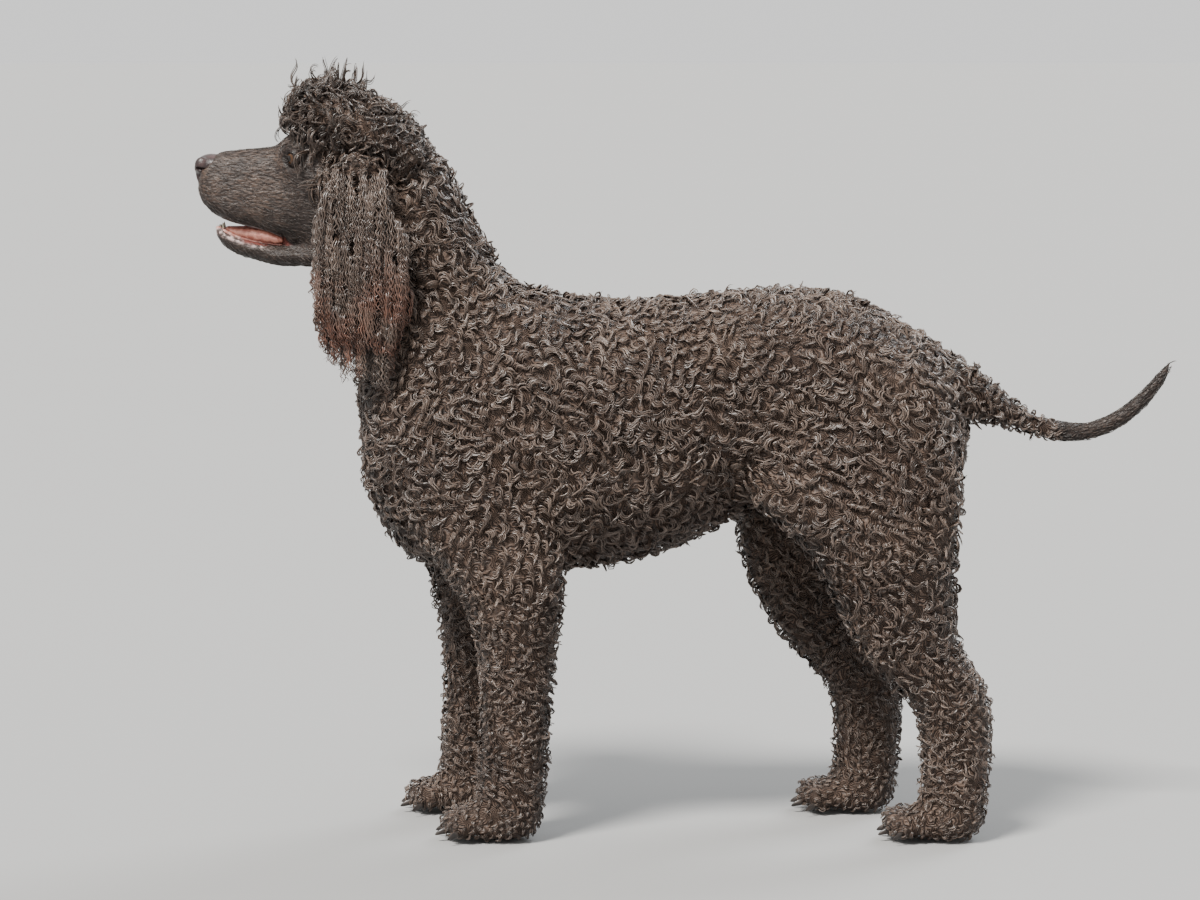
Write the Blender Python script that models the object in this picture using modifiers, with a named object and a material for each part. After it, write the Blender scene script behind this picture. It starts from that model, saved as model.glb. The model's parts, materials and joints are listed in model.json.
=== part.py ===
"""A standing Irish Water Spaniel at life size, as a still museum figure.

Metres, +Z up. The dog looks along -X and its left side is at -Y. The origin is on the floor,
midway along and across the figure. Every outline runs to the tips of the curly coat.
The body is fused whole from lofted forms and then parted with thin cuts.
"""

import math

import bmesh
import bpy
from mathutils import Matrix, Vector

# ---- driving dimensions -------------------------------------------------------------------
LEG_TRACK = 0.083  # a leg's middle, out from the middle plane
FAR_FORE_LEAD = 0.045  # the right foreleg stands this far in front of the left one
FAR_HIND_LEAD = 0.087  # the same for the hind legs
CUT = 0.0005  # width of the thin cuts between parts
GAP = 0.0004  # clearance of a part that fits closely in its neighbour
NESTLE = 0.0030  # clearance of a mass of curls that lies on its neighbour
EAR_SPREAD = 0.094  # an ear's middle thickness line, out from the middle plane
EYE = Vector((-0.4230, 0.0335, 0.7440))  # middle of the right eyeball
EYE_RADIUS = 0.0105
NOSE = Vector((-0.5215, 0.0, 0.7350))  # middle of the nose leather
FOOT_HEIGHT = 0.048  # top of a foot, where it is parted from its leg

# ---- fineness of the fused forms ----------------------------------------------------------
BODY_VOXEL = 0.005
CURL_VOXEL = 0.004  # for the topknot and the ears
HEAD_VOXEL = 0.0028
BODY_FACES = 3000
BUST_FACES = 1100
HEAD_FACES = 950
JAW_FACES = 260
TOPKNOT_FACES = 420
EAR_FACES = 300
LOFT_SIDES = 20
LOFT_STEPS = 4

PARTS = bpy.data.collections.new("irish_water_spaniel")
GUIDES = bpy.data.collections.new("cutters_and_forms")


def clear_scene():
    for obj in list(bpy.data.objects):
        bpy.data.objects.remove(obj)
    for collection in (PARTS, GUIDES):
        bpy.context.scene.collection.children.link(collection)


# ---- making and changing meshes -----------------------------------------------------------
def place(name, mesh, collection=GUIDES):
    """A new object from a bmesh or a mesh. What lies in GUIDES is never rendered."""
    if collection is GUIDES and not name.startswith("guide_"):
        name = "guide_" + name
    if isinstance(mesh, bmesh.types.BMesh):
        data = bpy.data.meshes.new(name)
        mesh.to_mesh(data)
        mesh.free()
        mesh = data
    obj = bpy.data.objects.new(name, mesh)
    collection.objects.link(obj)
    if collection is GUIDES:
        obj.hide_render = True
        obj.display_type = "WIRE"
    return obj


def evaluated(obj):
    """The object's mesh with its modifiers applied, welded."""
    bpy.context.view_layer.update()
    graph = bpy.context.evaluated_depsgraph_get()
    data = bpy.data.meshes.new_from_object(obj.evaluated_get(graph))
    data.transform(obj.matrix_world)
    return data


def spline(values, steps):
    """Rows of numbers, with `steps` smooth rows for each one given (Catmull-Rom)."""
    rows = []
    last = len(values) - 1
    for i in range(last):
        a, b, c, d = (values[min(max(k, 0), last)] for k in (i - 1, i, i + 1, i + 2))
        for step in range(steps):
            t = step / steps
            rows.append(
                [
                    q + 0.5 * t * (r - p + t * (2 * p - 5 * q + 4 * r - s + t * (3 * q - p - 3 * r + s)))
                    for p, q, r, s in zip(a, b, c, d)
                ]
            )
    rows.append(list(values[last]))
    return rows


def section(row, sides):
    """A squarish oval between two points (x1, z1) and (x2, z2) of a plane at y.

    taper narrows it towards the first point, and power is 2 for an ellipse and more for a box.
    """
    x1, z1, x2, z2, half_width, y, taper, power = row
    middle = Vector(((x1 + x2) / 2, y, (z1 + z2) / 2))
    half = Vector(((x1 - x2) / 2, 0, (z1 - z2) / 2))
    points = []
    for k in range(sides):
        angle = 2 * math.pi * k / sides
        c, s = math.cos(angle), math.sin(angle)
        out = math.copysign(abs(c) ** (2 / power), c)
        up = math.copysign(abs(s) ** (2 / power), s)
        points.append(middle + half * up + Vector((0, half_width * out * (1 - taper * up), 0)))
    return points


def loft(name, stations, y=0.0, taper=0.0, power=2.2, sides=LOFT_SIDES, steps=LOFT_STEPS):
    """A closed tube through stations (x1, z1, x2, z2, half width[, y, taper, power])."""
    defaults = (y, taper, power)
    rows = spline([tuple(s) + defaults[len(s) - 5:] for s in stations], steps)
    mesh = bmesh.new()
    rings = [[mesh.verts.new(p) for p in section(row, sides)] for row in rows]
    for ring, following in zip(rings, rings[1:]):
        for k in range(sides):
            after = (k + 1) % sides
            mesh.faces.new((ring[k], ring[after], following[after], following[k]))
    mesh.faces.new(rings[0])
    mesh.faces.new(rings[-1])
    bmesh.ops.recalc_face_normals(mesh, faces=mesh.faces)
    return place(name, mesh)


def ball(name, centre, radii, tilt=0.0, segments=16):
    """An ellipsoid, turned by `tilt` degrees about the Y axis."""
    mesh = bmesh.new()
    bmesh.ops.create_uvsphere(mesh, u_segments=segments, v_segments=segments // 2 + 1, radius=1.0)
    turn = Matrix.Rotation(math.radians(tilt), 4, "Y")
    size = Matrix.Diagonal((*radii, 1.0))
    bmesh.ops.transform(mesh, matrix=Matrix.Translation(centre) @ turn @ size, verts=mesh.verts)
    return place(name, mesh)


def block(name, centre, size, tilt=0.0, yaw=0.0):
    """A box, turned by `tilt` degrees about Y and then by `yaw` about Z."""
    mesh = bmesh.new()
    bmesh.ops.create_cube(mesh, size=1.0)
    turn = Matrix.Rotation(math.radians(yaw), 4, "Z") @ Matrix.Rotation(math.radians(tilt), 4, "Y")
    matrix = Matrix.Translation(centre) @ turn @ Matrix.Diagonal((*size, 1.0))
    bmesh.ops.transform(mesh, matrix=matrix, verts=mesh.verts)
    return place(name, mesh)


def joined(name, pieces):
    """Several meshes as one object. They may pass through each other."""
    mesh = bmesh.new()
    for piece in pieces:
        mesh.from_mesh(piece.data)
    return place(name, mesh)


def fused(name, pieces, voxel, smoothing):
    """The pieces grown together into one skin, with their joins rounded over."""
    whole = joined(name, pieces)
    remesh = whole.modifiers.new("grow together", "REMESH")
    remesh.mode = "VOXEL"
    remesh.voxel_size = voxel
    if smoothing:
        smooth = whole.modifiers.new("round joins", "SMOOTH")
        smooth.factor = 0.5
        smooth.iterations = smoothing
    return place(name + "_fused", evaluated(whole))


def thinned(obj, faces):
    """The same form with about this many triangles."""
    obj.data.calc_loop_triangles()
    decimate = obj.modifiers.new("thin out", "DECIMATE")
    decimate.ratio = min(1.0, faces / len(obj.data.loop_triangles))
    return place(obj.name + "_thin", evaluated(obj))


def combined(obj, other, operation, name=None):
    """The Boolean of two meshes."""
    boolean = obj.modifiers.new(operation.lower(), "BOOLEAN")
    boolean.operation = operation
    boolean.object = other
    return place(name or obj.name, evaluated(obj))


def grown(obj, distance):
    """The form pushed outwards, as a cutter that leaves clearance."""
    mesh = bmesh.new()
    mesh.from_mesh(obj.data)
    mesh.normal_update()
    for vert in mesh.verts:
        vert.co += vert.normal * distance
    return place(obj.name + "_grown", mesh)


def loose_pieces(obj):
    """One object for each separate shell of the mesh, largest first."""
    mesh = bmesh.new()
    mesh.from_mesh(obj.data)
    bmesh.ops.remove_doubles(mesh, verts=mesh.verts, dist=1e-6)
    bmesh.ops.dissolve_degenerate(mesh, dist=1e-6, edges=mesh.edges)
    left = set(mesh.verts)
    shells = []
    while left:
        stack = [left.pop()]
        shell = set(stack)
        while stack:
            for edge in stack.pop().link_edges:
                for vert in edge.verts:
                    if vert in left:
                        left.discard(vert)
                        shell.add(vert)
                        stack.append(vert)
        shells.append(shell)
    shells.sort(key=len, reverse=True)
    pieces = []
    for shell in shells:
        copy = bmesh.new()
        twins = {vert: copy.verts.new(vert.co) for vert in shell}
        for face in {f for vert in shell for f in vert.link_faces}:
            corners = [twins[v] for v in face.verts]
            if not copy.faces.get(corners):
                copy.faces.new(corners)
        pieces.append(place("piece", copy))
    mesh.free()
    return pieces


def middle_of(obj):
    points = [vert.co for vert in obj.data.vertices]
    return sum(points, Vector()) / len(points)


# ---- materials ----------------------------------------------------------------------------
def finish(name, colour, roughness):
    material = bpy.data.materials.new(name)
    material.use_nodes = True
    shader = material.node_tree.nodes["Principled BSDF"]
    shader.inputs["Base Color"].default_value = (*colour, 1.0)
    shader.inputs["Roughness"].default_value = roughness
    shader.inputs["Metallic"].default_value = 0.0
    return material


COAT = finish("liver_curl_coat", (0.055, 0.037, 0.028), 0.75)
EAR_COAT = finish("ear_ringlets", (0.075, 0.040, 0.027), 0.70)
FACE_COAT = finish("smooth_face_hair", (0.060, 0.042, 0.034), 0.60)
NOSE_LEATHER = finish("nose_leather", (0.080, 0.050, 0.045), 0.38)
EYE_AMBER = finish("eye_amber", (0.120, 0.050, 0.012), 0.10)
MOUTH = finish("mouth_flesh", (0.640, 0.270, 0.230), 0.35)


def part(name, obj, material):
    """The finished solid, as a named part of the figure."""
    made = place(name, obj.data.copy(), PARTS)
    made.data.materials.clear()
    made.data.materials.append(material)
    made.data.shade_smooth()
    made.data.set_sharp_from_angle(angle=math.radians(50))
    return made


# ---- trunk, neck and tail root ------------------------------------------------------------
def trunk_form():
    """Breast to rump, as back point, belly point and half width."""
    return loft(
        "trunk",
        (
            (-0.353, 0.485, -0.355, 0.395, 0.045),
            (-0.346, 0.530, -0.341, 0.355, 0.080),
            (-0.300, 0.570, -0.305, 0.303, 0.104),
            (-0.240, 0.595, -0.245, 0.286, 0.118),
            (-0.180, 0.604, -0.185, 0.284, 0.125),
            (-0.120, 0.594, -0.125, 0.288, 0.128),
            (-0.060, 0.589, -0.062, 0.297, 0.126),
            (0.000, 0.592, 0.000, 0.316, 0.119),
            (0.055, 0.599, 0.055, 0.347, 0.112),
            (0.110, 0.602, 0.110, 0.368, 0.111),
            (0.170, 0.597, 0.170, 0.374, 0.114),
            (0.220, 0.576, 0.228, 0.377, 0.112),
            (0.262, 0.548, 0.282, 0.386, 0.098),
            (0.290, 0.518, 0.310, 0.405, 0.070),
            (0.298, 0.492, 0.313, 0.430, 0.035),
        ),
    )


def neck_form():
    """Withers to skull, as throat point, crest point and half width."""
    return loft(
        "neck",
        (
            (-0.352, 0.395, -0.090, 0.560, 0.100),
            (-0.360, 0.455, -0.155, 0.594, 0.102),
            (-0.361, 0.510, -0.194, 0.616, 0.092),
            (-0.363, 0.555, -0.216, 0.655, 0.083),
            (-0.368, 0.595, -0.237, 0.694, 0.077),
            (-0.378, 0.632, -0.256, 0.734, 0.073),
            (-0.390, 0.652, -0.280, 0.764, 0.066),
            (-0.392, 0.690, -0.325, 0.768, 0.050),
        ),
    )


def tail_root_form():
    """The thick curly third of the tail, where it leaves the croup."""
    return loft(
        "tail_root",
        (
            (0.255, 0.553, 0.265, 0.440, 0.050),
            (0.295, 0.530, 0.290, 0.452, 0.040),
            (0.325, 0.512, 0.307, 0.450, 0.031),
            (0.357, 0.489, 0.336, 0.447, 0.024),
            (0.382, 0.467, 0.364, 0.439, 0.0165),
            (0.398, 0.459, 0.390, 0.432, 0.0135),
            (0.418, 0.453, 0.416, 0.4285, 0.0122),
        ),
        sides=14,
    )


TAIL_WHIP = (  # middle line (x, z) and radius of the smooth, tapering end
    (0.407, 0.4430, 0.0124),
    (0.425, 0.4405, 0.0112),
    (0.445, 0.4410, 0.0102),
    (0.465, 0.4472, 0.0100),
    (0.486, 0.4590, 0.0096),
    (0.506, 0.4765, 0.0086),
    (0.522, 0.4955, 0.0072),
    (0.5305, 0.5080, 0.0052),
    (0.5350, 0.5160, 0.0030),
    (0.5374, 0.5205, 0.0012),
)


def tail_whip_form():
    """A round tube through the whip's middle line, square to it at every station."""
    stations = []
    last = len(TAIL_WHIP) - 1
    for i, (x, z, radius) in enumerate(TAIL_WHIP):
        x0, z0, _ = TAIL_WHIP[max(i - 1, 0)]
        x1, z1, _ = TAIL_WHIP[min(i + 1, last)]
        length = math.hypot(x1 - x0, z1 - z0)
        across = (-(z1 - z0) / length * radius, (x1 - x0) / length * radius)
        stations.append((x + across[0], z + across[1], x - across[0], z - across[1], radius))
    return loft("tail_whip", stations, power=2.0, sides=10, steps=1)


# ---- legs ---------------------------------------------------------------------------------
def foreleg_form(side, lead):
    """Shoulder to pastern, as front point, back point and half width. lead shifts the lower leg forwards."""
    y = side * LEG_TRACK
    stations = (
        (-0.295, 0.500, -0.180, 0.515, 0.040, 0.80, 0.0),
        (-0.322, 0.430, -0.150, 0.440, 0.050, 0.90, 0.1),
        (-0.305, 0.350, -0.135, 0.350, 0.053, 0.97, 0.3),
        (-0.268, 0.300, -0.128, 0.300, 0.053, 1.00, 0.6),
        (-0.243, 0.260, -0.131, 0.262, 0.050, 1.00, 0.9),
        (-0.229, 0.206, -0.138, 0.206, 0.044, 1.00, 1.0),
        (-0.226, 0.151, -0.144, 0.151, 0.041, 1.00, 1.0),
        (-0.228, 0.096, -0.148, 0.096, 0.040, 1.00, 1.0),
        (-0.231, 0.055, -0.150, 0.055, 0.041, 1.00, 1.0),
        (-0.236, 0.022, -0.152, 0.022, 0.042, 1.00, 1.0),
    )
    return loft(
        "foreleg",
        [
            (x1 - lead * share, z1, x2 - lead * share, z2, half, y * out)
            for x1, z1, x2, z2, half, out, share in stations
        ],
    )


def hind_leg_form(side, lead):
    """Croup to pastern, the same way, through stifle and hock."""
    y = side * LEG_TRACK
    stations = (
        (0.110, 0.530, 0.270, 0.510, 0.040, 0.70, 0.00),
        (0.072, 0.440, 0.303, 0.440, 0.050, 0.90, 0.00),
        (0.068, 0.375, 0.305, 0.385, 0.056, 1.00, 0.25),
        (0.120, 0.330, 0.300, 0.328, 0.056, 1.06, 0.75),
        (0.152, 0.278, 0.297, 0.276, 0.051, 1.07, 0.98),
        (0.175, 0.233, 0.298, 0.235, 0.047, 1.06, 1.00),
        (0.197, 0.198, 0.307, 0.208, 0.044, 1.04, 1.00),
        (0.228, 0.168, 0.324, 0.182, 0.041, 1.03, 1.00),
        (0.250, 0.140, 0.336, 0.150, 0.040, 1.03, 1.00),
        (0.256, 0.107, 0.338, 0.107, 0.039, 1.03, 1.00),
        (0.257, 0.069, 0.335, 0.069, 0.039, 1.03, 1.00),
        (0.253, 0.022, 0.332, 0.022, 0.041, 1.03, 1.00),
    )
    return loft(
        "hind_leg",
        [
            (x1 - lead * share, z1, x2 - lead * share, z2, half, y * out)
            for x1, z1, x2, z2, half, out, share in stations
        ],
    )


HEEL_RADII = (0.044, 0.041, 0.028)
TOE_RADII = (0.021, 0.0145, 0.020)
TOE_REACH = 0.055  # a toe's middle, ahead of the heel's
TOE_ANGLES = (-37, -11, 11, 37)  # the toes' fan, in degrees


def foot_forms(heel_x, side, lead):
    """A round, well haired foot: four toes in an arc before a low heel."""
    heel = Vector((heel_x - lead, side * LEG_TRACK, FOOT_HEIGHT * 0.42))
    forms = [ball("heel", heel, HEEL_RADII)]
    for angle in map(math.radians, TOE_ANGLES):
        reach = Vector((-math.cos(angle), math.sin(angle) * 0.9, 0)) * TOE_REACH
        forms.append(ball("toe", heel + reach, TOE_RADII))
    return forms


LEGS = (  # name, side, lead of the foreleg, lead of the hind leg
    ("left", -1, 0.0, 0.0),
    ("right", 1, FAR_FORE_LEAD, FAR_HIND_LEAD),
)
FORE_HEEL_X = -0.198
HIND_HEEL_X = 0.286


def body_whole():
    """Trunk, neck, tail root, legs and feet grown together, standing on flat soles."""
    forms = [trunk_form(), neck_form(), tail_root_form(), skull_form()]
    for _, side, fore_lead, hind_lead in LEGS:
        forms.append(foreleg_form(side, fore_lead))
        forms.append(hind_leg_form(side, hind_lead))
        forms += foot_forms(FORE_HEEL_X, side, fore_lead)
        forms += foot_forms(HIND_HEEL_X, side, hind_lead)
    whole = thinned(fused("body", forms, BODY_VOXEL, smoothing=14), BODY_FACES)
    floor = block("floor", (0, 0, -0.1), (2, 1, 0.2))
    return combined(whole, floor, "DIFFERENCE")


# ---- head ---------------------------------------------------------------------------------
def skull_form():
    """Brow, cheeks and occiput, as crown point, throat point and half width."""
    return loft(
        "skull",
        (
            (-0.4480, 0.7580, -0.4500, 0.6620, 0.0335, 0, 0.10),
            (-0.4380, 0.7690, -0.4390, 0.6550, 0.0385, 0, 0.06),
            (-0.4240, 0.7800, -0.4260, 0.6420, 0.0450, 0, 0.02),
            (-0.4020, 0.7880, -0.4050, 0.6310, 0.0530, 0, 0.00),
            (-0.3740, 0.7920, -0.3800, 0.6310, 0.0580, 0, 0.00),
            (-0.3450, 0.7900, -0.3550, 0.6430, 0.0580, 0, 0.00),
            (-0.3150, 0.7780, -0.3350, 0.6600, 0.0520, 0, 0.00),
            (-0.2920, 0.7520, -0.3150, 0.6900, 0.0360, 0, 0.00),
        ),
        power=2.3,
    )


def muzzle_form():
    """Square, deep muzzle with hanging upper lips, as bridge point, lip point and half width."""
    return loft(
        "muzzle",
        (
            (-0.5310, 0.7400, -0.5340, 0.7080, 0.0150, 0, 0.10),
            (-0.5260, 0.7460, -0.5300, 0.6960, 0.0215, 0, 0.14),
            (-0.5150, 0.7490, -0.5180, 0.6830, 0.0262, 0, 0.16),
            (-0.4970, 0.7518, -0.4980, 0.6700, 0.0300, 0, 0.19),
            (-0.4690, 0.7545, -0.4690, 0.6620, 0.0328, 0, 0.20),
            (-0.4460, 0.7575, -0.4440, 0.6530, 0.0360, 0, 0.15),
            (-0.4250, 0.7660, -0.4200, 0.6480, 0.0415, 0, 0.10),
            (-0.4050, 0.7660, -0.3950, 0.6480, 0.0460, 0, 0.05),
        ),
        power=3.0,
    )


def palate_form():
    """The hollow between the upper lips, which leaves them hanging at the sides."""
    return loft(
        "palate",
        (
            (-0.5120, 0.6840, -0.5080, 0.6500, 0.0090),
            (-0.4980, 0.6810, -0.4950, 0.6450, 0.0200),
            (-0.4700, 0.6760, -0.4700, 0.6400, 0.0245),
            (-0.4480, 0.6700, -0.4460, 0.6400, 0.0265),
            (-0.4360, 0.6580, -0.4350, 0.6450, 0.0240),
        ),
        power=2.8,
        steps=3,
        sides=12,
    )


def jaw_form():
    """The lower jaw with its lip, as upper point, lower point and half width."""
    return loft(
        "jaw",
        (
            (-0.5165, 0.6700, -0.5150, 0.6580, 0.0085),
            (-0.5125, 0.6700, -0.5080, 0.6480, 0.0145),
            (-0.4960, 0.6610, -0.4920, 0.6375, 0.0200),
            (-0.4700, 0.6545, -0.4680, 0.6300, 0.0245),
            (-0.4480, 0.6500, -0.4460, 0.6245, 0.0300),
            (-0.4250, 0.6500, -0.4220, 0.6215, 0.0370),
            (-0.4050, 0.6560, -0.3980, 0.6195, 0.0430),
            (-0.3850, 0.6650, -0.3700, 0.6130, 0.0460),
            (-0.3600, 0.6700, -0.3480, 0.6150, 0.0420),
        ),
        power=2.6,
    )


def canine_tooth(side):
    """A lower canine, leaning outwards at the front of the jaw."""
    mesh = bmesh.new()
    bmesh.ops.create_cone(mesh, cap_ends=True, segments=8, radius1=0.0030, radius2=0.0007, depth=0.016)
    lean = Matrix.Rotation(math.radians(-8 * side), 4, "X")
    seat = Matrix.Translation((-0.5065, side * 0.0100, 0.6690))
    bmesh.ops.transform(mesh, matrix=seat @ lean, verts=mesh.verts)
    return place("canine", mesh)


def head_forms():
    """Skull, muzzle, brows and cheeks, with the top of the neck that they sit on."""
    forms = [skull_form(), muzzle_form(), neck_form()]
    for side in (-1, 1):
        forms.append(ball("brow", (-0.4240, side * 0.0300, 0.7545), (0.020, 0.013, 0.009), tilt=-24))
        forms.append(ball("cheek", (-0.3800, side * 0.0345, 0.6900), (0.052, 0.020, 0.040), tilt=12))
    return forms


def head_whole():
    """The head with the hollow of the mouth taken out of it."""
    head = fused("head", head_forms(), HEAD_VOXEL, smoothing=16)
    return combined(head, palate_form(), "DIFFERENCE", "head")


def plain_bust():
    """Head, neck and chest as one coarse form, which the curls on them are cut to fit."""
    forms = head_forms() + [trunk_form()]
    bust = thinned(fused("bust", forms, BODY_VOXEL, smoothing=6), BUST_FACES)
    return grown(bust, NESTLE)


def nose_form():
    """The nose leather: a broad rounded pad, flatter in front, with two comma nostrils."""
    pad = ball("nose_pad", NOSE, (0.0170, 0.0180, 0.0125), tilt=-14, segments=12)
    for side in (-1, 1):
        hole = NOSE + Vector((-0.0145, side * 0.0080, 0.0))
        pad = combined(pad, ball("nostril", hole, (0.0060, 0.0034, 0.0040), segments=6), "DIFFERENCE")
        slit = NOSE + Vector((-0.0085, side * 0.0155, -0.0030))
        pad = combined(pad, ball("slit", slit, (0.0065, 0.0032, 0.0022), segments=6), "DIFFERENCE")
    return pad


def tongue_form():
    """A relaxed tongue that fills the open mouth from side to side."""
    return loft(
        "tongue",
        (
            (-0.5040, 0.6680, -0.5030, 0.6640, 0.0070),
            (-0.4960, 0.6680, -0.4940, 0.6590, 0.0130),
            (-0.4800, 0.6680, -0.4780, 0.6540, 0.0180),
            (-0.4600, 0.6665, -0.4580, 0.6500, 0.0222),
            (-0.4460, 0.6600, -0.4450, 0.6490, 0.0228),
            (-0.4400, 0.6560, -0.4400, 0.6510, 0.0200),
        ),
        steps=2,
        sides=12,
    )


# ---- ears and topknot ---------------------------------------------------------------------
def ear_form(side):
    """A long, low-set ear with its curtain of ringlets, as front point, rear point and half thickness."""
    y = side * EAR_SPREAD
    return loft(
        "ear",
        (
            (-0.3930, 0.7480, -0.3350, 0.7540, 0.010, y * 0.72),
            (-0.3990, 0.7250, -0.3150, 0.7360, 0.018, y * 0.80),
            (-0.4030, 0.6900, -0.3010, 0.7000, 0.021, y * 0.90),
            (-0.4060, 0.6500, -0.2950, 0.6600, 0.021, y * 0.96),
            (-0.4095, 0.6100, -0.2930, 0.6200, 0.021, y),
            (-0.4100, 0.5830, -0.2950, 0.5860, 0.021, y),
            (-0.3980, 0.5610, -0.3010, 0.5560, 0.019, y),
            (-0.3780, 0.5450, -0.3110, 0.5340, 0.014, y),
            (-0.3600, 0.5340, -0.3300, 0.5270, 0.006, y),
        ),
        power=2.6,
        sides=16,
    )


def topknot_form():
    """The loose cap of curls: over the skull, low over the brow and down the cheeks."""
    return loft(
        "topknot",
        (
            (-0.4450, 0.7780, -0.4420, 0.7610, 0.014),
            (-0.4380, 0.8010, -0.4300, 0.7480, 0.036),
            (-0.4230, 0.8250, -0.4100, 0.7370, 0.055),
            (-0.3970, 0.8320, -0.3860, 0.7270, 0.068),
            (-0.3720, 0.8280, -0.3620, 0.7200, 0.076),
            (-0.3460, 0.8180, -0.3400, 0.7150, 0.078),
            (-0.3180, 0.8020, -0.3220, 0.7120, 0.076),
            (-0.2920, 0.7810, -0.3060, 0.7090, 0.070),
            (-0.2710, 0.7540, -0.2900, 0.7110, 0.055),
            (-0.2650, 0.7400, -0.2780, 0.7180, 0.034),
        ),
        taper=-0.14,
        power=2.2,
    )


# ---- putting the figure together ----------------------------------------------------------
def slab(centre, tilt, length, width, thickness=CUT):
    """A sheet to cut with, lying flat and then tilted about Y."""
    return block("slab", centre, (length, width, thickness), tilt=tilt)


# the cuts through the body: middle and tilt of each plane
NECK_CUT = ((-0.330, 0.0, 0.692), -40.0)
SHOULDER_CUT = ((-0.272, 0.0, 0.560), -33.0)
TAIL_CUT = ((0.322, 0.0, 0.487), 73.0)
ELBOW_CUT = ((-0.220, 0.0, 0.277), 0.0)  # just under the brisket
THIGH_CUT = ((0.195, 0.0, 0.361), -9.0)
HOCK_CUT = ((0.268, 0.0, 0.190), -42.0)
FOOT_CUT = ((0.0, 0.0, FOOT_HEIGHT), 0.0)


def body_cutters():
    """The thin sheets that part the fused body."""
    sheets = [
        slab(*NECK_CUT, length=0.30, width=0.4),
        slab(*SHOULDER_CUT, length=0.40, width=0.5),
        slab(*TAIL_CUT, length=0.13, width=0.12),
        slab(*ELBOW_CUT, length=0.34, width=0.4),
        slab(*THIGH_CUT, length=0.296, width=0.4),
        slab(*FOOT_CUT, length=1.0, width=0.5),
    ]
    crotch_depth = 0.1  # below the thigh cut the left and right thighs are parted too
    centre, tilt = THIGH_CUT
    crotch = Vector(centre) - Vector((0, 0, crotch_depth / 2))
    sheets.append(block("crotch", crotch, (0.36, CUT, crotch_depth), tilt=tilt))
    centre, tilt = HOCK_CUT
    for _, side, _, lead in LEGS:
        hock = Vector(centre) + Vector((-lead, side * 0.1, 0))
        sheets.append(slab(hock, tilt, length=0.17, width=0.18))
    return sheets


def part_middles():
    """A point near the middle of every part of the body."""
    middles = {
        "trunk": (0.0, 0.0, 0.45),
        "neck": (-0.30, 0.0, 0.63),
        "skull": (-0.37, 0.0, 0.71),
        "tail_root": (0.37, 0.0, 0.46),
    }
    for name, side, fore_lead, hind_lead in LEGS:
        y = side * LEG_TRACK
        middles[f"foreleg_{name}"] = (-0.19 - fore_lead, y, 0.16)
        middles[f"forefoot_{name}"] = (-0.21 - fore_lead, y, 0.02)
        middles[f"thigh_{name}"] = (0.21 - 0.7 * hind_lead, y, 0.28)
        middles[f"hock_{name}"] = (0.29 - hind_lead, y, 0.12)
        middles[f"hindfoot_{name}"] = (0.27 - hind_lead, y, 0.02)
    return {name: Vector(point) for name, point in middles.items()}


def body_parts():
    """The fused body's pieces, each under the name whose middle is nearest."""
    body = body_whole()
    for sheet in body_cutters():
        body = combined(body, sheet, "DIFFERENCE", "body")
    middles = part_middles()
    found = {}
    for piece in loose_pieces(body):
        centre = middle_of(piece)
        name = min(middles, key=lambda key: (centre - middles[key]).length)
        if name in found:
            raise ValueError(f"two pieces are nearest to {name}: {centre}")
        found[name] = piece
    if len(found) < len(middles):
        raise ValueError(f"no piece for {set(middles) - set(found)}")
    del found["skull"]  # the finer head takes its place
    return found


def front_of_neck(obj):
    """What lies ahead of the neck cut, with its clearance."""
    centre, tilt = NECK_CUT
    depth = 0.4
    turn = Matrix.Rotation(math.radians(tilt), 3, "Y")
    behind = Vector(centre) + turn @ Vector((0, 0, (CUT - depth) / 2))
    rest = slab(behind, tilt, length=0.8, width=0.6, thickness=depth)
    return combined(obj, rest, "DIFFERENCE", obj.name)


def cleared(obj, neighbours, gap):
    """The object with its neighbours, and the gap round them, taken out of it."""
    for neighbour in neighbours:
        obj = combined(obj, grown(neighbour, gap), "DIFFERENCE")
    return loose_pieces(obj)[0]


def build():
    clear_scene()
    body = body_parts()
    for name, piece in body.items():
        part(name, piece, COAT)

    nose = nose_form()
    part("nose", nose, NOSE_LEATHER)
    head = thinned(front_of_neck(head_whole()), HEAD_FACES)
    head = combined(head, grown(nose, GAP), "DIFFERENCE")
    for name, side in (("left", -1), ("right", 1)):
        centre = Vector((EYE.x, side * EYE.y, EYE.z))
        head = combined(head, ball("socket", centre, (EYE_RADIUS + GAP,) * 3, segments=12), "DIFFERENCE")
        part(f"eye_{name}", ball("eye", centre, (EYE_RADIUS,) * 3, segments=12), EYE_AMBER)
    head = loose_pieces(head)[0]
    part("head", head, FACE_COAT)

    tongue = tongue_form()
    jaw = thinned(fused("jaw", [jaw_form()], HEAD_VOXEL, smoothing=3), JAW_FACES)
    for side in (-1, 1):
        jaw = combined(jaw, canine_tooth(side), "UNION")
    part("lower_jaw", cleared(jaw, (tongue, head, body["neck"]), GAP), FACE_COAT)
    part("tongue", cleared(tongue, (head,), GAP), MOUTH)

    bust = plain_bust()
    topknot = thinned(fused("topknot", [topknot_form()], CURL_VOXEL, smoothing=4), TOPKNOT_FACES)
    topknot = loose_pieces(combined(topknot, bust, "DIFFERENCE"))[0]
    part("topknot", topknot, COAT)
    for name, side in (("left", -1), ("right", 1)):
        ear = thinned(fused("ear", [ear_form(side)], CURL_VOXEL, smoothing=4), EAR_FACES)
        ear = combined(ear, bust, "DIFFERENCE")
        part(f"ear_{name}", cleared(ear, (topknot,), GAP), EAR_COAT)
    part("tail_whip", cleared(tail_whip_form(), (body["tail_root"],), GAP), COAT)


build()
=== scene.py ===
import json
import math

import bpy
import numpy as np
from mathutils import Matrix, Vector
from mathutils.bvhtree import BVHTree

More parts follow.
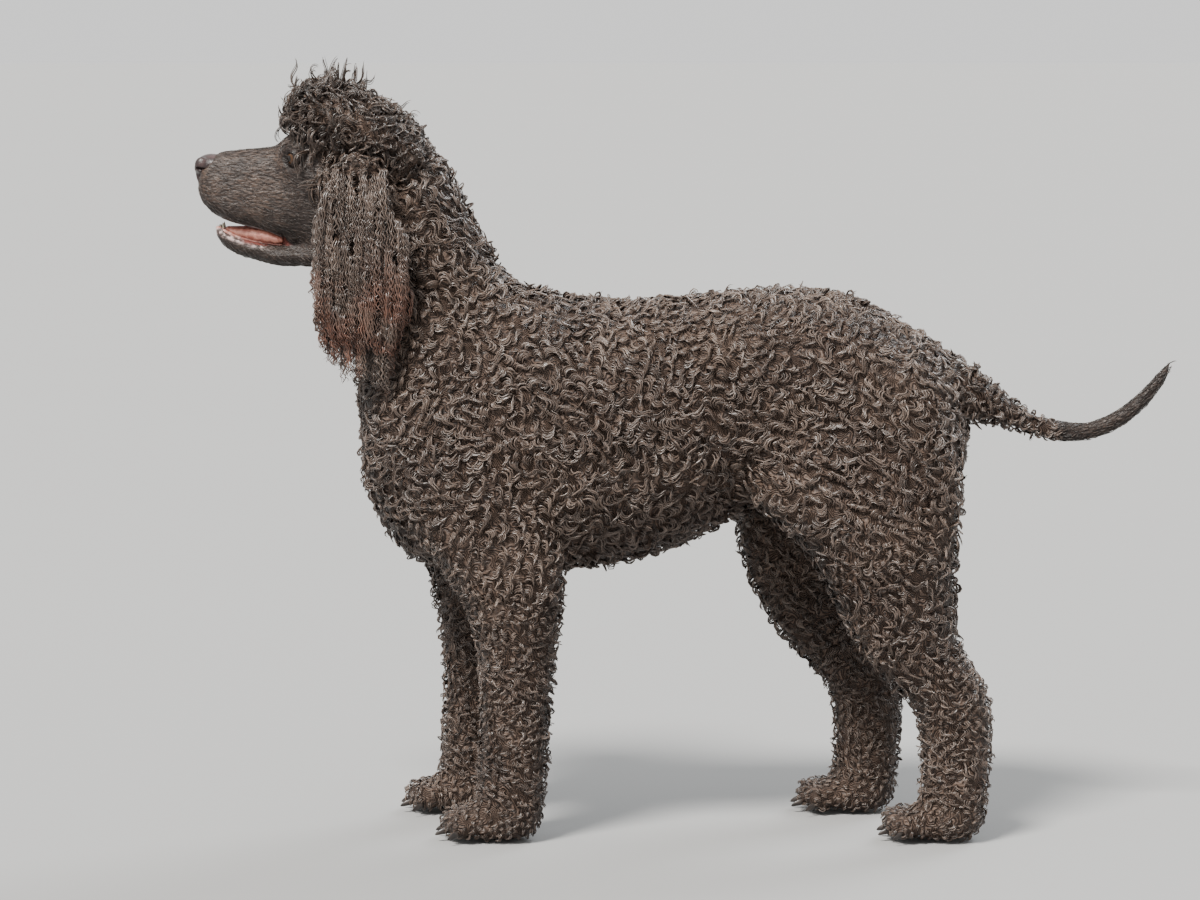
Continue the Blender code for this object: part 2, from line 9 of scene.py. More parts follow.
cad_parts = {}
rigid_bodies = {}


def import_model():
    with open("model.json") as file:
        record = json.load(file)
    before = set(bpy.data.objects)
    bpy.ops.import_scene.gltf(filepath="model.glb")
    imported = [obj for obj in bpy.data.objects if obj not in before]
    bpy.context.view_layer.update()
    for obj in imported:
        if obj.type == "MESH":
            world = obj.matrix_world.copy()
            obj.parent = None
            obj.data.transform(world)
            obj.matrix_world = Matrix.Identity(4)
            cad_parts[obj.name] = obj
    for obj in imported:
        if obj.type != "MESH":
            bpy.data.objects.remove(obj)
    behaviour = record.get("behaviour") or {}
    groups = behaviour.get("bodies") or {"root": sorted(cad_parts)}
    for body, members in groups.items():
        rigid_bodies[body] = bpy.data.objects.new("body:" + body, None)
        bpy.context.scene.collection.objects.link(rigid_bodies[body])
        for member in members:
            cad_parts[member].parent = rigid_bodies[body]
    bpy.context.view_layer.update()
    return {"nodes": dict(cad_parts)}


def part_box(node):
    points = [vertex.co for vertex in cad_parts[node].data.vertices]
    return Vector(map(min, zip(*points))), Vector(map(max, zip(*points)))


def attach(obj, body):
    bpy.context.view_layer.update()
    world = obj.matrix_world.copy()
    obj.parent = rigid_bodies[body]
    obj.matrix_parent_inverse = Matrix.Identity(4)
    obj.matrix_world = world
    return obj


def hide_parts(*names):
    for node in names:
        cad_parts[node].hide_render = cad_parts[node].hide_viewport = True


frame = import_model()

# ---- 1. the body under the coat -----------------------------------------------------------
# The dog's trunk, neck, legs, feet and tail as the hide lies on them. The solids reach out to
# the tips of the curls, so they are fused into one form, drawn in by the depth of the coat
# and smoothed.
SIDES = ("left", "right")
FEET = [f"{foot}_{side}" for foot in ("forefoot", "hindfoot") for side in SIDES]
BODY_NODES = ["trunk", "neck", "tail_root"] + FEET + [
    f"{part}_{side}" for part in ("foreleg", "thigh", "hock") for side in SIDES
]
GROW_TO_MEET = 0.0006  # closes the thin cuts between neighbouring solids
BODY_GRID = 0.005
FOOT_GRID = 0.003
WHIP_GRID = 0.002
TAIL_DEPTH = 0.0080  # where the whip runs on inside the curls of the tail's root
WHIP_BARE_FROM = 0.030  # along the tail's root, where its curls begin to thin out
WHIP_BARE_PAST = 0.004  # beyond the root's end, where they are gone
COAT_DEPTH = {
    "head": 0.0150,
    "trunk": 0.0066,
    "neck": 0.0070,
    "foreleg": 0.0052,
    "thigh": 0.0060,
    "hock": 0.0048,
    "forefoot": 0.0050,
    "hindfoot": 0.0050,
    "tail_root": 0.0062,
    "tail_whip": 0.0016,
}


def only(*pieces):
    """Selects just these pieces, the first of them active."""
    bpy.ops.object.select_all(action="DESELECT")
    for piece in pieces:
        piece.select_set(True)
    bpy.context.view_layer.objects.active = pieces[0]


def shaped(piece, kind, **settings):
    """Adds a modifier with these settings and applies it."""
    only(piece)
    modifier = piece.modifiers.new(kind.title(), kind)
    for name, value in settings.items():
        setattr(modifier, name, value)
    bpy.ops.object.modifier_apply(modifier=modifier.name)
    return piece


def merged(piece):
    """Merges the doubled points of a mesh and turns its faces outwards."""
    only(piece)
    bpy.ops.object.mode_set(mode="EDIT")
    bpy.ops.mesh.select_all(action="SELECT")
    bpy.ops.mesh.remove_doubles(threshold=1e-5)
    bpy.ops.mesh.normals_make_consistent(inside=False)
    bpy.ops.object.mode_set(mode="OBJECT")
    return piece


def together(name, pieces):
    """Joins pieces into one mesh of this name."""
    only(*pieces)
    if len(pieces) > 1:
        bpy.ops.object.join()
    pieces[0].name = name
    return pieces[0]


def flesh(name, nodes, grid, evenings):
    """Copies of solids, fused on a grid into one closed form and smoothed."""
    copies = []
    for node in nodes:
        copy = frame["nodes"][node].copy()
        copy.data = copy.data.copy()
        copy.data.materials.clear()
        for key in list(copy.keys()):
            del copy[key]
        copy.parent = None
        bpy.context.collection.objects.link(copy)
        copies.append(shaped(merged(copy), "DISPLACE", strength=GROW_TO_MEET, mid_level=0))
    whole = together(name, copies)
    shaped(whole, "REMESH", mode="VOXEL", voxel_size=grid)
    return shaped(whole, "SMOOTH", factor=0.5, iterations=evenings)


def points_of(piece):
    points = np.empty(len(piece.data.vertices) * 3, np.float32)
    piece.data.vertices.foreach_get("co", points)
    return points.reshape(-1, 3).astype(float)


def normals_of(piece):
    normals = np.empty(len(piece.data.vertices) * 3, np.float32)
    piece.data.vertex_normals.foreach_get("vector", normals)
    return normals.reshape(-1, 3).astype(float)


def set_points(piece, points):
    piece.data.vertices.foreach_set("co", points.astype(np.float32).ravel())
    piece.data.update()


def evened(piece, values, rounds):
    """Spreads a value over a surface: each point takes the mean of itself and its neighbours."""
    ends = np.empty(len(piece.data.edges) * 2, np.int32)
    piece.data.edges.foreach_get("vertices", ends)
    one, other = ends.reshape(-1, 2).T
    count = len(values)
    degree = np.bincount(one, minlength=count) + np.bincount(other, minlength=count)
    for _ in range(rounds):
        total = np.bincount(one, values[other], count) + np.bincount(other, values[one], count)
        values = 0.5 * values + 0.5 * total / degree
    return values


def drawn_in(piece, depth, rounds):
    """Moves a surface inwards by a depth at each point, evened first."""
    set_points(piece, points_of(piece) - normals_of(piece) * evened(piece, depth, rounds)[:, None])
    return piece


def rise(values, start, end):
    """0 before start, 1 after end, and a smooth step between them."""
    share = np.clip((values - start) / (end - start), 0, 1)
    return share * share * (3 - 2 * share)


def surface_of(piece):
    """A search tree over the surface of a mesh."""
    piece.data.calc_loop_triangles()
    corners = np.empty(len(piece.data.loop_triangles) * 3, np.int32)
    piece.data.loop_triangles.foreach_get("vertices", corners)
    return BVHTree.FromPolygons(points_of(piece).tolist(), corners.reshape(-1, 3).tolist())


def kind_of(node):
    return node.removesuffix("_left").removesuffix("_right")


node_trees = {name: surface_of(solid) for name, solid in frame["nodes"].items()}


def nearest_node(points, nodes):
    """The name of the solid that lies nearest to each point."""
    distances = [[node_trees[node].find_nearest(point)[3] for point in points] for node in nodes]
    return np.array(nodes)[np.argmin(np.array(distances), axis=0)]


def undercoat(name, nodes, depths, grid, evenings, rounds):
    """Solids fused into one form and drawn in by each one's depth of coat. The outline is kept."""
    form = flesh(name, nodes, grid, evenings)
    outline[name] = surface_of(form)
    owners = nearest_node(points_of(form), nodes)
    drawn_in(form, np.array([depths[kind_of(node)] for node in owners]), rounds)
    shaped(form, "REMESH", mode="VOXEL", voxel_size=grid)
    return shaped(form, "SMOOTH", factor=0.5, iterations=3)


outline = {}
body = undercoat("body", BODY_NODES + ["head"], COAT_DEPTH, BODY_GRID, evenings=4, rounds=14)
whip = flesh("whip", ["tail_root", "tail_whip"], WHIP_GRID, evenings=6)
outline["whip"] = surface_of(whip)
tail_start, tail_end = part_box("tail_root")
thinning = rise(points_of(whip)[:, 0], tail_start.x + WHIP_BARE_FROM, tail_end.x + WHIP_BARE_PAST)
drawn_in(whip, TAIL_DEPTH + (COAT_DEPTH["tail_whip"] - TAIL_DEPTH) * thinning, rounds=4)
shaped(whip, "REMESH", mode="VOXEL", voxel_size=WHIP_GRID)
shaped(whip, "SMOOTH", factor=0.5, iterations=3)
feet = [undercoat(foot, [foot], COAT_DEPTH, FOOT_GRID, evenings=4, rounds=1) for foot in FEET]

# ---- 2. the crown and the ear leathers ----------------------------------------------------
# The skull under its cap of long hair, and the two ear flaps inside their curtains of ringlets:
# thin leather that hangs from the side of the head, joined to it by a gristly root.
CROWN_GRID = 0.0045
CROWN_DEPTH = {"head": 0.0110, "topknot": 0.0120, "ear": 0.0125}
EAR_ROOT_RADII = (0.024, 0.026, 0.017)
EAR_ROOT_DROP = 0.022  # below the top of the ear
EAR_ROOT_INWARDS = 0.72  # of the ear's distance from the middle of the head


def middle_of(node):
    low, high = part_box(node)
    return (low + high) / 2


def swelling(name, centre, radii, turn=(0, 0, 0), segments=32):
    """A smooth egg-shaped form; turn is in degrees."""
    bpy.ops.object.select_all(action="DESELECT")
    bpy.ops.mesh.primitive_uv_sphere_add(
        segments=segments,
        ring_count=segments // 2,
        radius=1,
        location=centre,
        rotation=[math.radians(angle) for angle in turn],
    )
    form = bpy.context.active_object
    form.name = name
    form.scale = radii
    bpy.ops.object.transform_apply(location=True, rotation=True, scale=True)
    return form


def in_order(piece):
    """Lists a piece's faces by their corners: fusing leaves them in another order each time."""
    points = points_of(piece)
    faces = [tuple(face.vertices) for face in piece.data.polygons]
    firsts = [face.index(min(face)) for face in faces]
    turned = sorted(face[first:] + face[:first] for face, first in zip(faces, firsts))
    piece.data.clear_geometry()
    piece.data.from_pydata(points, [], turned)
    return piece


def fused(piece, *others):
    """Unites closed forms with a piece, one by one."""
    for other in others:
        shaped(piece, "BOOLEAN", object=other, operation="UNION", solver="MANIFOLD")
        bpy.data.objects.remove(other)
    return in_order(piece)


crown = undercoat("crown", ["head", "topknot"], CROWN_DEPTH, CROWN_GRID, evenings=5, rounds=10)
ears = []
for side in SIDES:
    ear = undercoat(f"ear_{side}", [f"ear_{side}"], CROWN_DEPTH, CROWN_GRID, evenings=5, rounds=1)
    shaped(ear, "SMOOTH", factor=0.5, iterations=6)
    low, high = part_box(f"ear_{side}")
    root = Vector(((low.x + high.x) / 2, (low.y + high.y) / 2 * EAR_ROOT_INWARDS, high.z - EAR_ROOT_DROP))
    ears.append(fused(ear, swelling("ear_root", root, EAR_ROOT_RADII)))

# ---- 3. the face --------------------------------------------------------------------------
# Square muzzle, hanging upper lips, brows and cheeks, on bone close under a thin hide. The
# hair is short here, so the form is fine: it carries the stop, the hollows before the eyes,
# the fold at the corner of the mouth and the groove under the nose.
FACE_GRID = 0.0018
MUZZLE_DEPTH = 0.0012
CHEEK_DEPTH = 0.0045
NAPE_DEPTH = 0.0240  # the crown and the neck take over there
CHEEK_SPAN = (-0.455, -0.412)  # along the head, where the muzzle goes over into the cheek
NAPE_SPAN = (-0.400, -0.350)
EYE_RADIUS = 0.0105
EYE_HOLLOW = (0.016, 0.034)  # round the eye the face is drawn in no more than on the muzzle
THROAT = ((-0.4280, 0, 0.6560), (0.0170, 0.0330, 0.0110))
PAIRED_TOUCHES = (  # place on the right side, radii, and how far the face is pushed out there
    ((-0.4420, 0.0430, 0.7210), (0.0150, 0.0150, 0.0120), -0.0024),  # hollow before the eye
    ((-0.4040, 0.0520, 0.7230), (0.0150, 0.0150, 0.0080), 0.0016),  # cheek bone
    ((-0.4960, 0.0320, 0.6860), (0.0200, 0.0120, 0.0100), 0.0014),  # cushion of the upper lip
    ((-0.4230, 0.0440, 0.6500), (0.0130, 0.0100, 0.0036), -0.0022),  # fold at the mouth's corner
    ((-0.4330, 0.0290, 0.7600), (0.0110, 0.0110, 0.0060), 0.0018),  # brow
    ((-0.5120, 0.0240, 0.7290), (0.0070, 0.0060, 0.0080), -0.0010),  # behind the wing of the nose
)
MIDDLE_TOUCHES = (
    ((-0.4440, 0.0, 0.7640), (0.0200, 0.0050, 0.0120), -0.0018),  # furrow of the stop
    ((-0.5320, 0.0, 0.7050), (0.0120, 0.0016, 0.0180), -0.0016),  # groove from nose to lip
)
eyes_at = {side: middle_of(f"eye_{side}") for side in SIDES}
mirror = {"left": -1, "right": 1}  # the dog's left side is at -Y


def worn(piece, *touches):
    """Presses or swells a surface: each touch has a middle, radii, and how far it pushes out."""
    points, normals = points_of(piece), normals_of(piece)
    push = np.zeros(len(points))
    for centre, radii, amount in touches:
        away = (points - np.array(centre)) / np.array(radii)
        push += amount * np.exp(-(away**2).sum(axis=1))
    set_points(piece, points + normals * push[:, None])
    return piece


face = flesh("face", ["head", "lower_jaw"], FACE_GRID, evenings=7)
outline["face"] = surface_of(face)
face = together(
    "face",
    [face, swelling("throat", *THROAT)]
    + [swelling("orb", eyes_at[side], (EYE_RADIUS * 0.97,) * 3) for side in SIDES],
)
shaped(face, "REMESH", mode="VOXEL", voxel_size=FACE_GRID)
shaped(face, "SMOOTH", factor=0.5, iterations=5)
at = points_of(face)
depth = MUZZLE_DEPTH + (CHEEK_DEPTH - MUZZLE_DEPTH) * rise(at[:, 0], *CHEEK_SPAN)
depth += (NAPE_DEPTH - CHEEK_DEPTH) * rise(at[:, 0], *NAPE_SPAN)
for side in SIDES:
    near_eye = rise(-np.linalg.norm(at - np.array(eyes_at[side]), axis=1), -EYE_HOLLOW[1], -EYE_HOLLOW[0])
    depth = depth * (1 - near_eye) + MUZZLE_DEPTH * near_eye
drawn_in(face, depth, rounds=4)
shaped(face, "REMESH", mode="VOXEL", voxel_size=FACE_GRID)
shaped(face, "SMOOTH", factor=0.5, iterations=4)
for side in (-1, 1):
    worn(face, *[((x, side * y, z), radii, push) for (x, y, z), radii, push in PAIRED_TOUCHES])
worn(face, *MIDDLE_TOUCHES)

# ---- 4. the eyelids -----------------------------------------------------------------------
# A firm rim of skin round each almond opening. It hugs the eyeball and runs out into the face.
LID_RISE = 0.0015  # the rim's half thickness
LID_REACH = 19.0  # half its width, in degrees seen from the middle of the eye
OPENING = (50.0, 33.0)  # half width and half height of the opening, in degrees
ALMOND = 1.6  # below 2, the corners of the opening are pointed
SOCKET = 0.0008  # how far the face stays under the eyeball there
SOCKET_SPAN = (0.0125, 0.0180)  # from the middle of the eye, where the socket fades out
SOCKET_FLARE = 0.010  # how far the socket's wall may lean back round the lids
GAZE = Vector((-0.80, 0.58, 0.0)).normalized()  # of the right eye
LID_SLANT = math.radians(12)  # the outer corner is the higher one


def eye_axes(side):
    """Where an eye looks, and the directions of its opening's width and height."""
    gaze = np.array((GAZE.x, GAZE.y * mirror[side], 0.0))
    level = np.array((-gaze[1], gaze[0], 0.0)) * mirror[side]
    upright = np.array((0.0, 0.0, 1.0))
    width = level * math.cos(LID_SLANT) - upright * math.sin(LID_SLANT)
    return gaze, width, np.cross(width, gaze) * mirror[side] * -1


def opening_at(around):
    """Half the opening's angle, each way round: the inner corner runs to a point."""
    across, up = np.abs(np.cos(around)), np.abs(np.sin(around))
    almond = ((across / OPENING[0]) ** ALMOND + (up / OPENING[1]) ** ALMOND) ** (-1 / ALMOND)
    return almond * (1 + 0.16 * np.clip(np.cos(around), 0, 1) ** 8)


def squared(wave):
    """A sine or cosine with flatter sides, for a rim with an edge."""
    return np.sign(wave) * np.abs(wave) ** 0.5


at = points_of(face)
for side in SIDES:
    gaze, width, height = eye_axes(side)
    away = at - np.array(eyes_at[side])
    far = np.linalg.norm(away, axis=1)
    off_gaze = np.degrees(np.arccos(np.clip(away @ gaze / far, -1, 1)))
    past_opening = off_gaze - opening_at(np.arctan2(away @ height, away @ width))
    limit = EYE_RADIUS - SOCKET + rise(past_opening, LID_REACH, 2.6 * LID_REACH) * SOCKET_FLARE
    nearby = 1 - rise(far, *SOCKET_SPAN)
    at = at + away * (nearby * (np.minimum(1, limit / far) - 1))[:, None]
set_points(face, at)
lids = []
for side in SIDES:
    bpy.ops.object.select_all(action="DESELECT")
    bpy.ops.mesh.primitive_torus_add(major_segments=64, minor_segments=16, major_radius=1, minor_radius=0.25)
    lid = bpy.context.active_object
    ring = points_of(lid)
    around = np.arctan2(ring[:, 1], ring[:, 0])
    turn = np.arctan2(ring[:, 2], np.hypot(ring[:, 0], ring[:, 1]) - 1)
    from_gaze = np.radians(opening_at(around) + LID_REACH * (1 + squared(np.cos(turn))))
    upper_lid = 1 + 0.5 * np.clip(np.sin(around), 0, 1)
    radius = EYE_RADIUS + 0.0001 + LID_RISE * squared(np.sin(turn)) * upper_lid
    gaze, width, height = eye_axes(side)
    outwards = np.outer(np.cos(around), width) + np.outer(np.sin(around), height)
    heading = np.outer(np.cos(from_gaze), gaze) + outwards * np.sin(from_gaze)[:, None]
    set_points(lid, np.array(eyes_at[side]) + heading * radius[:, None])
    lids.append(merged(lid))

# ---- 5. the hide --------------------------------------------------------------------------
# One skin over the whole dog: body, crown, ears, face and lids become a single closed surface,
# with no seam. Its unwrap is what the roots of the coat are placed by.
HIDE_GRID = 0.0062  # coarser where the coat hides it


def mounted(piece, slot, *nodes):
    """Finishes a piece of the dog: smooth, on its body, with the solids it replaces hidden. The slot is not
    used.
    """
    only(piece)
    bpy.ops.object.shade_smooth()
    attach(piece, "root")
    if nodes:
        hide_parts(*nodes)


shaped(body, "REMESH", mode="VOXEL", voxel_size=HIDE_GRID)
hide = fused(body, whip, *feet, crown, *ears, face, *lids)
hide.name = "hide"
only(hide)
bpy.ops.object.mode_set(mode="EDIT")
bpy.ops.mesh.select_all(action="SELECT")
bpy.ops.mesh.dissolve_degenerate(threshold=1e-6)
bpy.ops.mesh.select_all(action="DESELECT")
hide_at = points_of(hide)
back_middle = np.argmax(hide_at[:, 2] * (np.abs(hide_at[:, 0]) < 0.05))
bpy.ops.object.mode_set(mode="OBJECT")
hide.data.vertices[int(back_middle)].select = True
bpy.ops.object.mode_set(mode="EDIT")
bpy.ops.mesh.select_linked()
bpy.ops.mesh.select_all(action="INVERT")
bpy.ops.mesh.delete(type="VERT")  # crumbs that fusing leaves
bpy.ops.mesh.select_all(action="SELECT")
bpy.ops.uv.smart_project(angle_limit=math.radians(66), island_margin=0.001)
bpy.ops.object.mode_set(mode="OBJECT")
mounted(hide, "coat", *BODY_NODES, "tail_whip", "head", "lower_jaw", "topknot", "ear_left", "ear_right")

# ---- 6. the colours of the hide -----------------------------------------------------------
# Liver: a dark brown with a purplish cast. Skin and hair share it, with the same weathering:
# redder where the sun has bleached the ends of the ears, and lighter and darker in broad cloudy patches.
LIVER_DARK = (0.0170, 0.0110, 0.0090, 1)
LIVER = (0.0850, 0.0560, 0.0420, 1)
LIVER_LIGHT = (0.2050, 0.1460, 0.1130, 1)
RUSSET = (0.2300, 0.0850, 0.0500, 1)
# pale pink of the lower lip, lightened by a painted wet highlight
PALE_LIP_AND_GLINT = (0.4600, 0.3400, 0.3200, 1)
MOUTH_FLESH = (0.1300, 0.0400, 0.0330, 1)
LID_DARK = (0.0080, 0.0055, 0.0050, 1)
EAR_END_SPAN = (0.560, 0.680)  # of height, where the ear's ends are bleached
FUR_SLANT = math.radians(32)  # the way the short hair lies, seen from the side


class Wire:
    """An output of a node, on which arithmetic adds Math nodes."""

    def __init__(self, finish, socket):
        self.finish = finish
        self.socket = socket

    def maths(self, operation, first, second=None):
        inputs = {0: first} if second is None else {0: first, 1: second}
        return self.finish.add("ShaderNodeMath", {"operation": operation}, inputs)

    def __add__(self, other):
        return self.maths("ADD", self, other)

    def __sub__(self, other):
        return self.maths("SUBTRACT", self, other)

    def __rsub__(self, other):
        return self.maths("SUBTRACT", other, self)

    def __mul__(self, other):
        return self.maths("MULTIPLY", self, other)

    def __truediv__(self, other):
        return self.maths("DIVIDE", self, other)

    def __pow__(self, other):
        return self.maths("POWER", self, other)

    __radd__ = __add__
    __rmul__ = __mul__

    def within(self, start, end):
        """0 at start and 1 at end, with a smooth step between."""
        settings = {"interpolation_type": "SMOOTHSTEP"}
        return self.finish.add("ShaderNodeMapRange", settings, {0: self, 1: start, 2: end})


class Finish:
    """A material on one Principled shader; the plain values are the same all over."""

    def __init__(self, name, plain):
        self.material = bpy.data.materials.new(name)
        self.material.use_nodes = True
        self.nodes = self.material.node_tree.nodes
        self.links = self.material.node_tree.links
        self.shader = self.nodes["Principled BSDF"]
        for socket, value in plain.items():
            self.shader.inputs[socket].default_value = value
        self.place = self.add("ShaderNodeTexCoord", {}, {}, out="Object")

    def put(self, node, inputs):
        for socket, value in inputs.items():
            if isinstance(value, Wire):
                self.links.new(value.socket, node.inputs[socket])
            else:
                node.inputs[socket].default_value = value

    def add(self, kind, settings, inputs, out=0):
        """Adds a node: its settings first, then the values or wires of its sockets."""
        node = self.nodes.new(kind)
        for name, value in settings.items():
            if name == "stops":
                while len(node.color_ramp.elements) < len(value):
                    node.color_ramp.elements.new(1.0)
                for element, (position, colour) in zip(node.color_ramp.elements, value):
                    element.position, element.color = position, colour
            else:
                setattr(node, name, value)
        self.put(node, inputs)
        return Wire(self, node.outputs[out])

    def give(self, **wires):
        """Feeds sockets of the shader; an underscore in a name stands for a space."""
        self.put(self.shader, {name.replace("_", " "): wire for name, wire in wires.items()})
        return self.material

    def mixed(self, mask, first, second):
        """One colour going over into another."""
        return self.add("ShaderNodeMix", {"data_type": "RGBA"}, {0: mask, 6: first, 7: second}, out=2)

    def noise(self, scale, detail=2.0, stretch=None, turn=(0, 0, 0)):
        """Cloudy noise through the object, or streaks where one axis is stretched."""
        place = self.place
        if stretch:
            place = self.add("ShaderNodeMapping", {}, {"Vector": place, "Rotation": turn, "Scale": stretch})
        return self.add("ShaderNodeTexNoise", {}, {"Vector": place, "Scale": scale, "Detail": detail})

    def stored(self, name):
        """A value kept on the points of the mesh."""
        return self.add("ShaderNodeAttribute", {"attribute_name": name}, {}, out="Fac")

    def relief(self, height, distance, strength=1.0, under=None):
        """A bump of this height in metres."""
        inputs = {"Height": height, "Distance": distance, "Strength": strength}
        if under:
            inputs["Normal"] = under
        return self.add("ShaderNodeBump", {}, inputs)


def liver(finish, tone):
    """The dog's colour at a place: tone goes from the painted shade at the roots of the hair to its light
    ends.
    """
    weather = finish.noise(9.0, 3.0).within(0.35, 0.68)
    ramp = {"stops": ((0.0, LIVER_DARK), (0.5, LIVER), (1.0, LIVER_LIGHT))}
    colour = finish.add("ShaderNodeValToRGB", ramp, {0: tone + weather * 0.16 - 0.08})
    spot = finish.add("ShaderNodeSeparateXYZ", {}, {0: finish.place}, out="Z")
    on_ear_ends = 1 - spot.within(*EAR_END_SPAN)
    bleached = on_ear_ends * finish.noise(22.0, 2.0).within(0.38, 0.62) * finish.stored("ear_end")
    return finish.mixed(bleached * 0.85, colour, finish.mixed(tone, LIVER_DARK, RUSSET))


def coloured(piece, material):
    piece.data.materials.clear()
    piece.data.materials.append(material)


def keep(piece, name, values):
    """Stores a value for each point of a mesh."""
    piece.data.attributes.new(name, "FLOAT", "POINT").data.foreach_set("value", values.astype(np.float32))


leather = Finish("liver_hide", {"Specular IOR Level": 0.28})
eddy_inputs = {"Vector": leather.place, "Scale": 55.0, "Detail": 1.0}
eddies = leather.add("ShaderNodeTexNoise", {}, eddy_inputs, out="Color")
stir = {0: eddies, 1: (0.055, 0.055, 0.055), 2: leather.place}
stirred = leather.add("ShaderNodeVectorMath", {"operation": "MULTIPLY_ADD"}, stir)
undercurl = leather.add(
    "ShaderNodeTexWave",
    {"wave_type": "BANDS", "bands_direction": "DIAGONAL"},
    {"Vector": stirred, "Scale": 95.0, "Distortion": 1.5, "Detail": 1.0},
    out="Fac",
)
coated = leather.stored("coated")
fine_hair = leather.noise(620.0, 3.0, stretch=(0.22, 1.0, 1.0), turn=(0, FUR_SLANT, 0)).within(0.3, 0.7)
down = leather.noise(120.0, 4.0, stretch=(0.5, 1.0, 1.0), turn=(0, FUR_SLANT, 0)).within(0.3, 0.7)
patches = leather.noise(38.0, 2.0).within(0.3, 0.7)
flesh_tone = leather.stored("mouth_inside")
# The face's short hair, darkened by painted shade behind the muzzle and towards the lips.
short_tone = fine_hair * 0.40 + down * 0.20 + patches * 0.22 - leather.stored("face_shade") * 0.24 - 0.21
# Painted shade: under the coat the hide is kept dark, darker still under the ears, with faint waves for
# deeper curls.
under_coat_painted_shade = undercurl * 0.50 + 0.08 - leather.stored("ear_end") * 0.16
hide_colour = liver(leather, short_tone * (1 - coated) + coated * under_coat_painted_shade)
mottling = leather.noise(230.0, 2.0).within(0.42, 0.60)
lip_colour = leather.mixed(leather.stored("pale_lip") * (mottling * 0.85 + 0.1), hide_colour, PALE_LIP_AND_GLINT)
mouth_colour = leather.mixed(flesh_tone, lip_colour, MOUTH_FLESH)
rim_tone = leather.stored("lid_rim")
short_relief = leather.relief(fine_hair, 0.0004, under=leather.relief(down, 0.0008))
leather.give(
    Base_Color=leather.mixed(rim_tone * 0.9, mouth_colour, LID_DARK),
    Roughness=0.48 - fine_hair * 0.10 - flesh_tone * 0.16 - rim_tone * 0.14,
    Normal=leather.relief(undercurl * coated, 0.0016, under=short_relief),
)
coloured(hide, leather.material)

# The mouth's line along the head: its half width, the height of the lower lip's edge, and that
# of the upper lip's edge.
HALF_MOUTH = {-0.512: 0.006, -0.498: 0.017, -0.470: 0.022, -0.440: 0.024}
LOWER_EDGE = {-0.515: 0.667, -0.500: 0.661, -0.480: 0.655, -0.460: 0.650, -0.445: 0.649}
UPPER_EDGE = {-0.530: 0.690, -0.513: 0.681, -0.493: 0.669, -0.465: 0.6625, -0.438: 0.656}
MOUTH_HEIGHT = 0.667
MOUTH_FRONT = -0.514
MOUTH_BACK = -0.424
COLOURED_BY = ["head", "lower_jaw", "neck", "trunk", "topknot", "ear_left", "ear_right"]
COLOURED_BY += ["tail_root", "tail_whip"]


def along_head(edge):
    """The value of a line on the mouth at each point of the hide."""
    return np.interp(at[:, 0], list(edge), list(edge.values()))


at = points_of(hide)
inside = rise(along_head(HALF_MOUTH) - np.abs(at[:, 1]), -0.001, 0.002)
inside *= np.abs(at[:, 2] - MOUTH_HEIGHT) < 0.019
inside *= rise(-at[:, 0], -MOUTH_BACK, -MOUTH_BACK + 0.006) * rise(at[:, 0], MOUTH_FRONT, MOUTH_FRONT + 0.005)
inside *= np.maximum(rise(at[:, 0], -0.488, -0.480), rise(at[:, 2], MOUTH_HEIGHT - 0.004, MOUTH_HEIGHT))
above_lip = at[:, 2] - along_head(LOWER_EDGE)
# The front of the lower lip's outer edge: pale pink lip with a painted wet highlight, mottled.
pale_lip = rise(-at[:, 0], 0.448, 0.470) * rise(above_lip, -0.0085, -0.0040) * (above_lip < 0.005)
near_lips = rise(along_head(UPPER_EDGE) + 0.016 - at[:, 2], -0.008, 0.014)
lid_rim = np.zeros(len(at))
for side in SIDES:
    gaze, width, height = eye_axes(side)
    away = at - np.array(eyes_at[side])
    from_eye = np.linalg.norm(away, axis=1)
    off_gaze = np.arccos(np.clip(away @ gaze / from_eye, -1, 1))
    limit = np.radians(opening_at(np.arctan2(away @ height, away @ width)))
    lid_rim += (from_eye < 0.016) * (1 - rise(off_gaze - limit, 0.10, 0.34))
owners = nearest_node(at, COLOURED_BY)
bare = np.isin(owners, ("head", "lower_jaw")) * (1 - rise(at[:, 0], -0.405, -0.385))
bare += owners == "tail_whip"
keep(hide, "mouth_inside", inside)
keep(hide, "pale_lip", pale_lip)
keep(hide, "ear_end", np.char.startswith(owners, "ear") * 1.0)
keep(hide, "coated", evened(hide, 1 - bare, 2))
# Painted shade on the face: darker behind the muzzle, where brow and topknot shade the cheeks, and darker
# towards the lips.
keep(hide, "face_shade", np.clip(rise(at[:, 0], -0.460, -0.425) + near_lips, 0, 1))
keep(hide, "lid_rim", lid_rim)

# ---- 7. the eyes --------------------------------------------------------------------------
# Medium-sized, amber brown, set under a heavy brow: a wet globe with the cornea standing out
# of it over iris and pupil.
CORNEA_RISE = 0.0008
CORNEA_EDGE = math.radians(36)
IRIS = (  # by the angle from the middle of the pupil, in radians
    (0.000, (0.002, 0.0015, 0.001, 1)),
    (0.290, (0.002, 0.0015, 0.001, 1)),  # the pupil's edge
    (0.320, (0.020, 0.009, 0.003, 1)),
    (0.460, (0.052, 0.022, 0.007, 1)),  # amber brown
    (0.600, (0.030, 0.013, 0.005, 1)),
    (0.660, (0.006, 0.004, 0.003, 1)),  # dark ring
    (0.720, (0.010, 0.007, 0.006, 1)),
    (0.800, (0.120, 0.085, 0.070, 1)),  # white of the eye
)
MOIST_GLOBE = {"Roughness": 0.10, "Specular IOR Level": 0.20, "Coat Weight": 0.45, "Coat Roughness": 0.02}
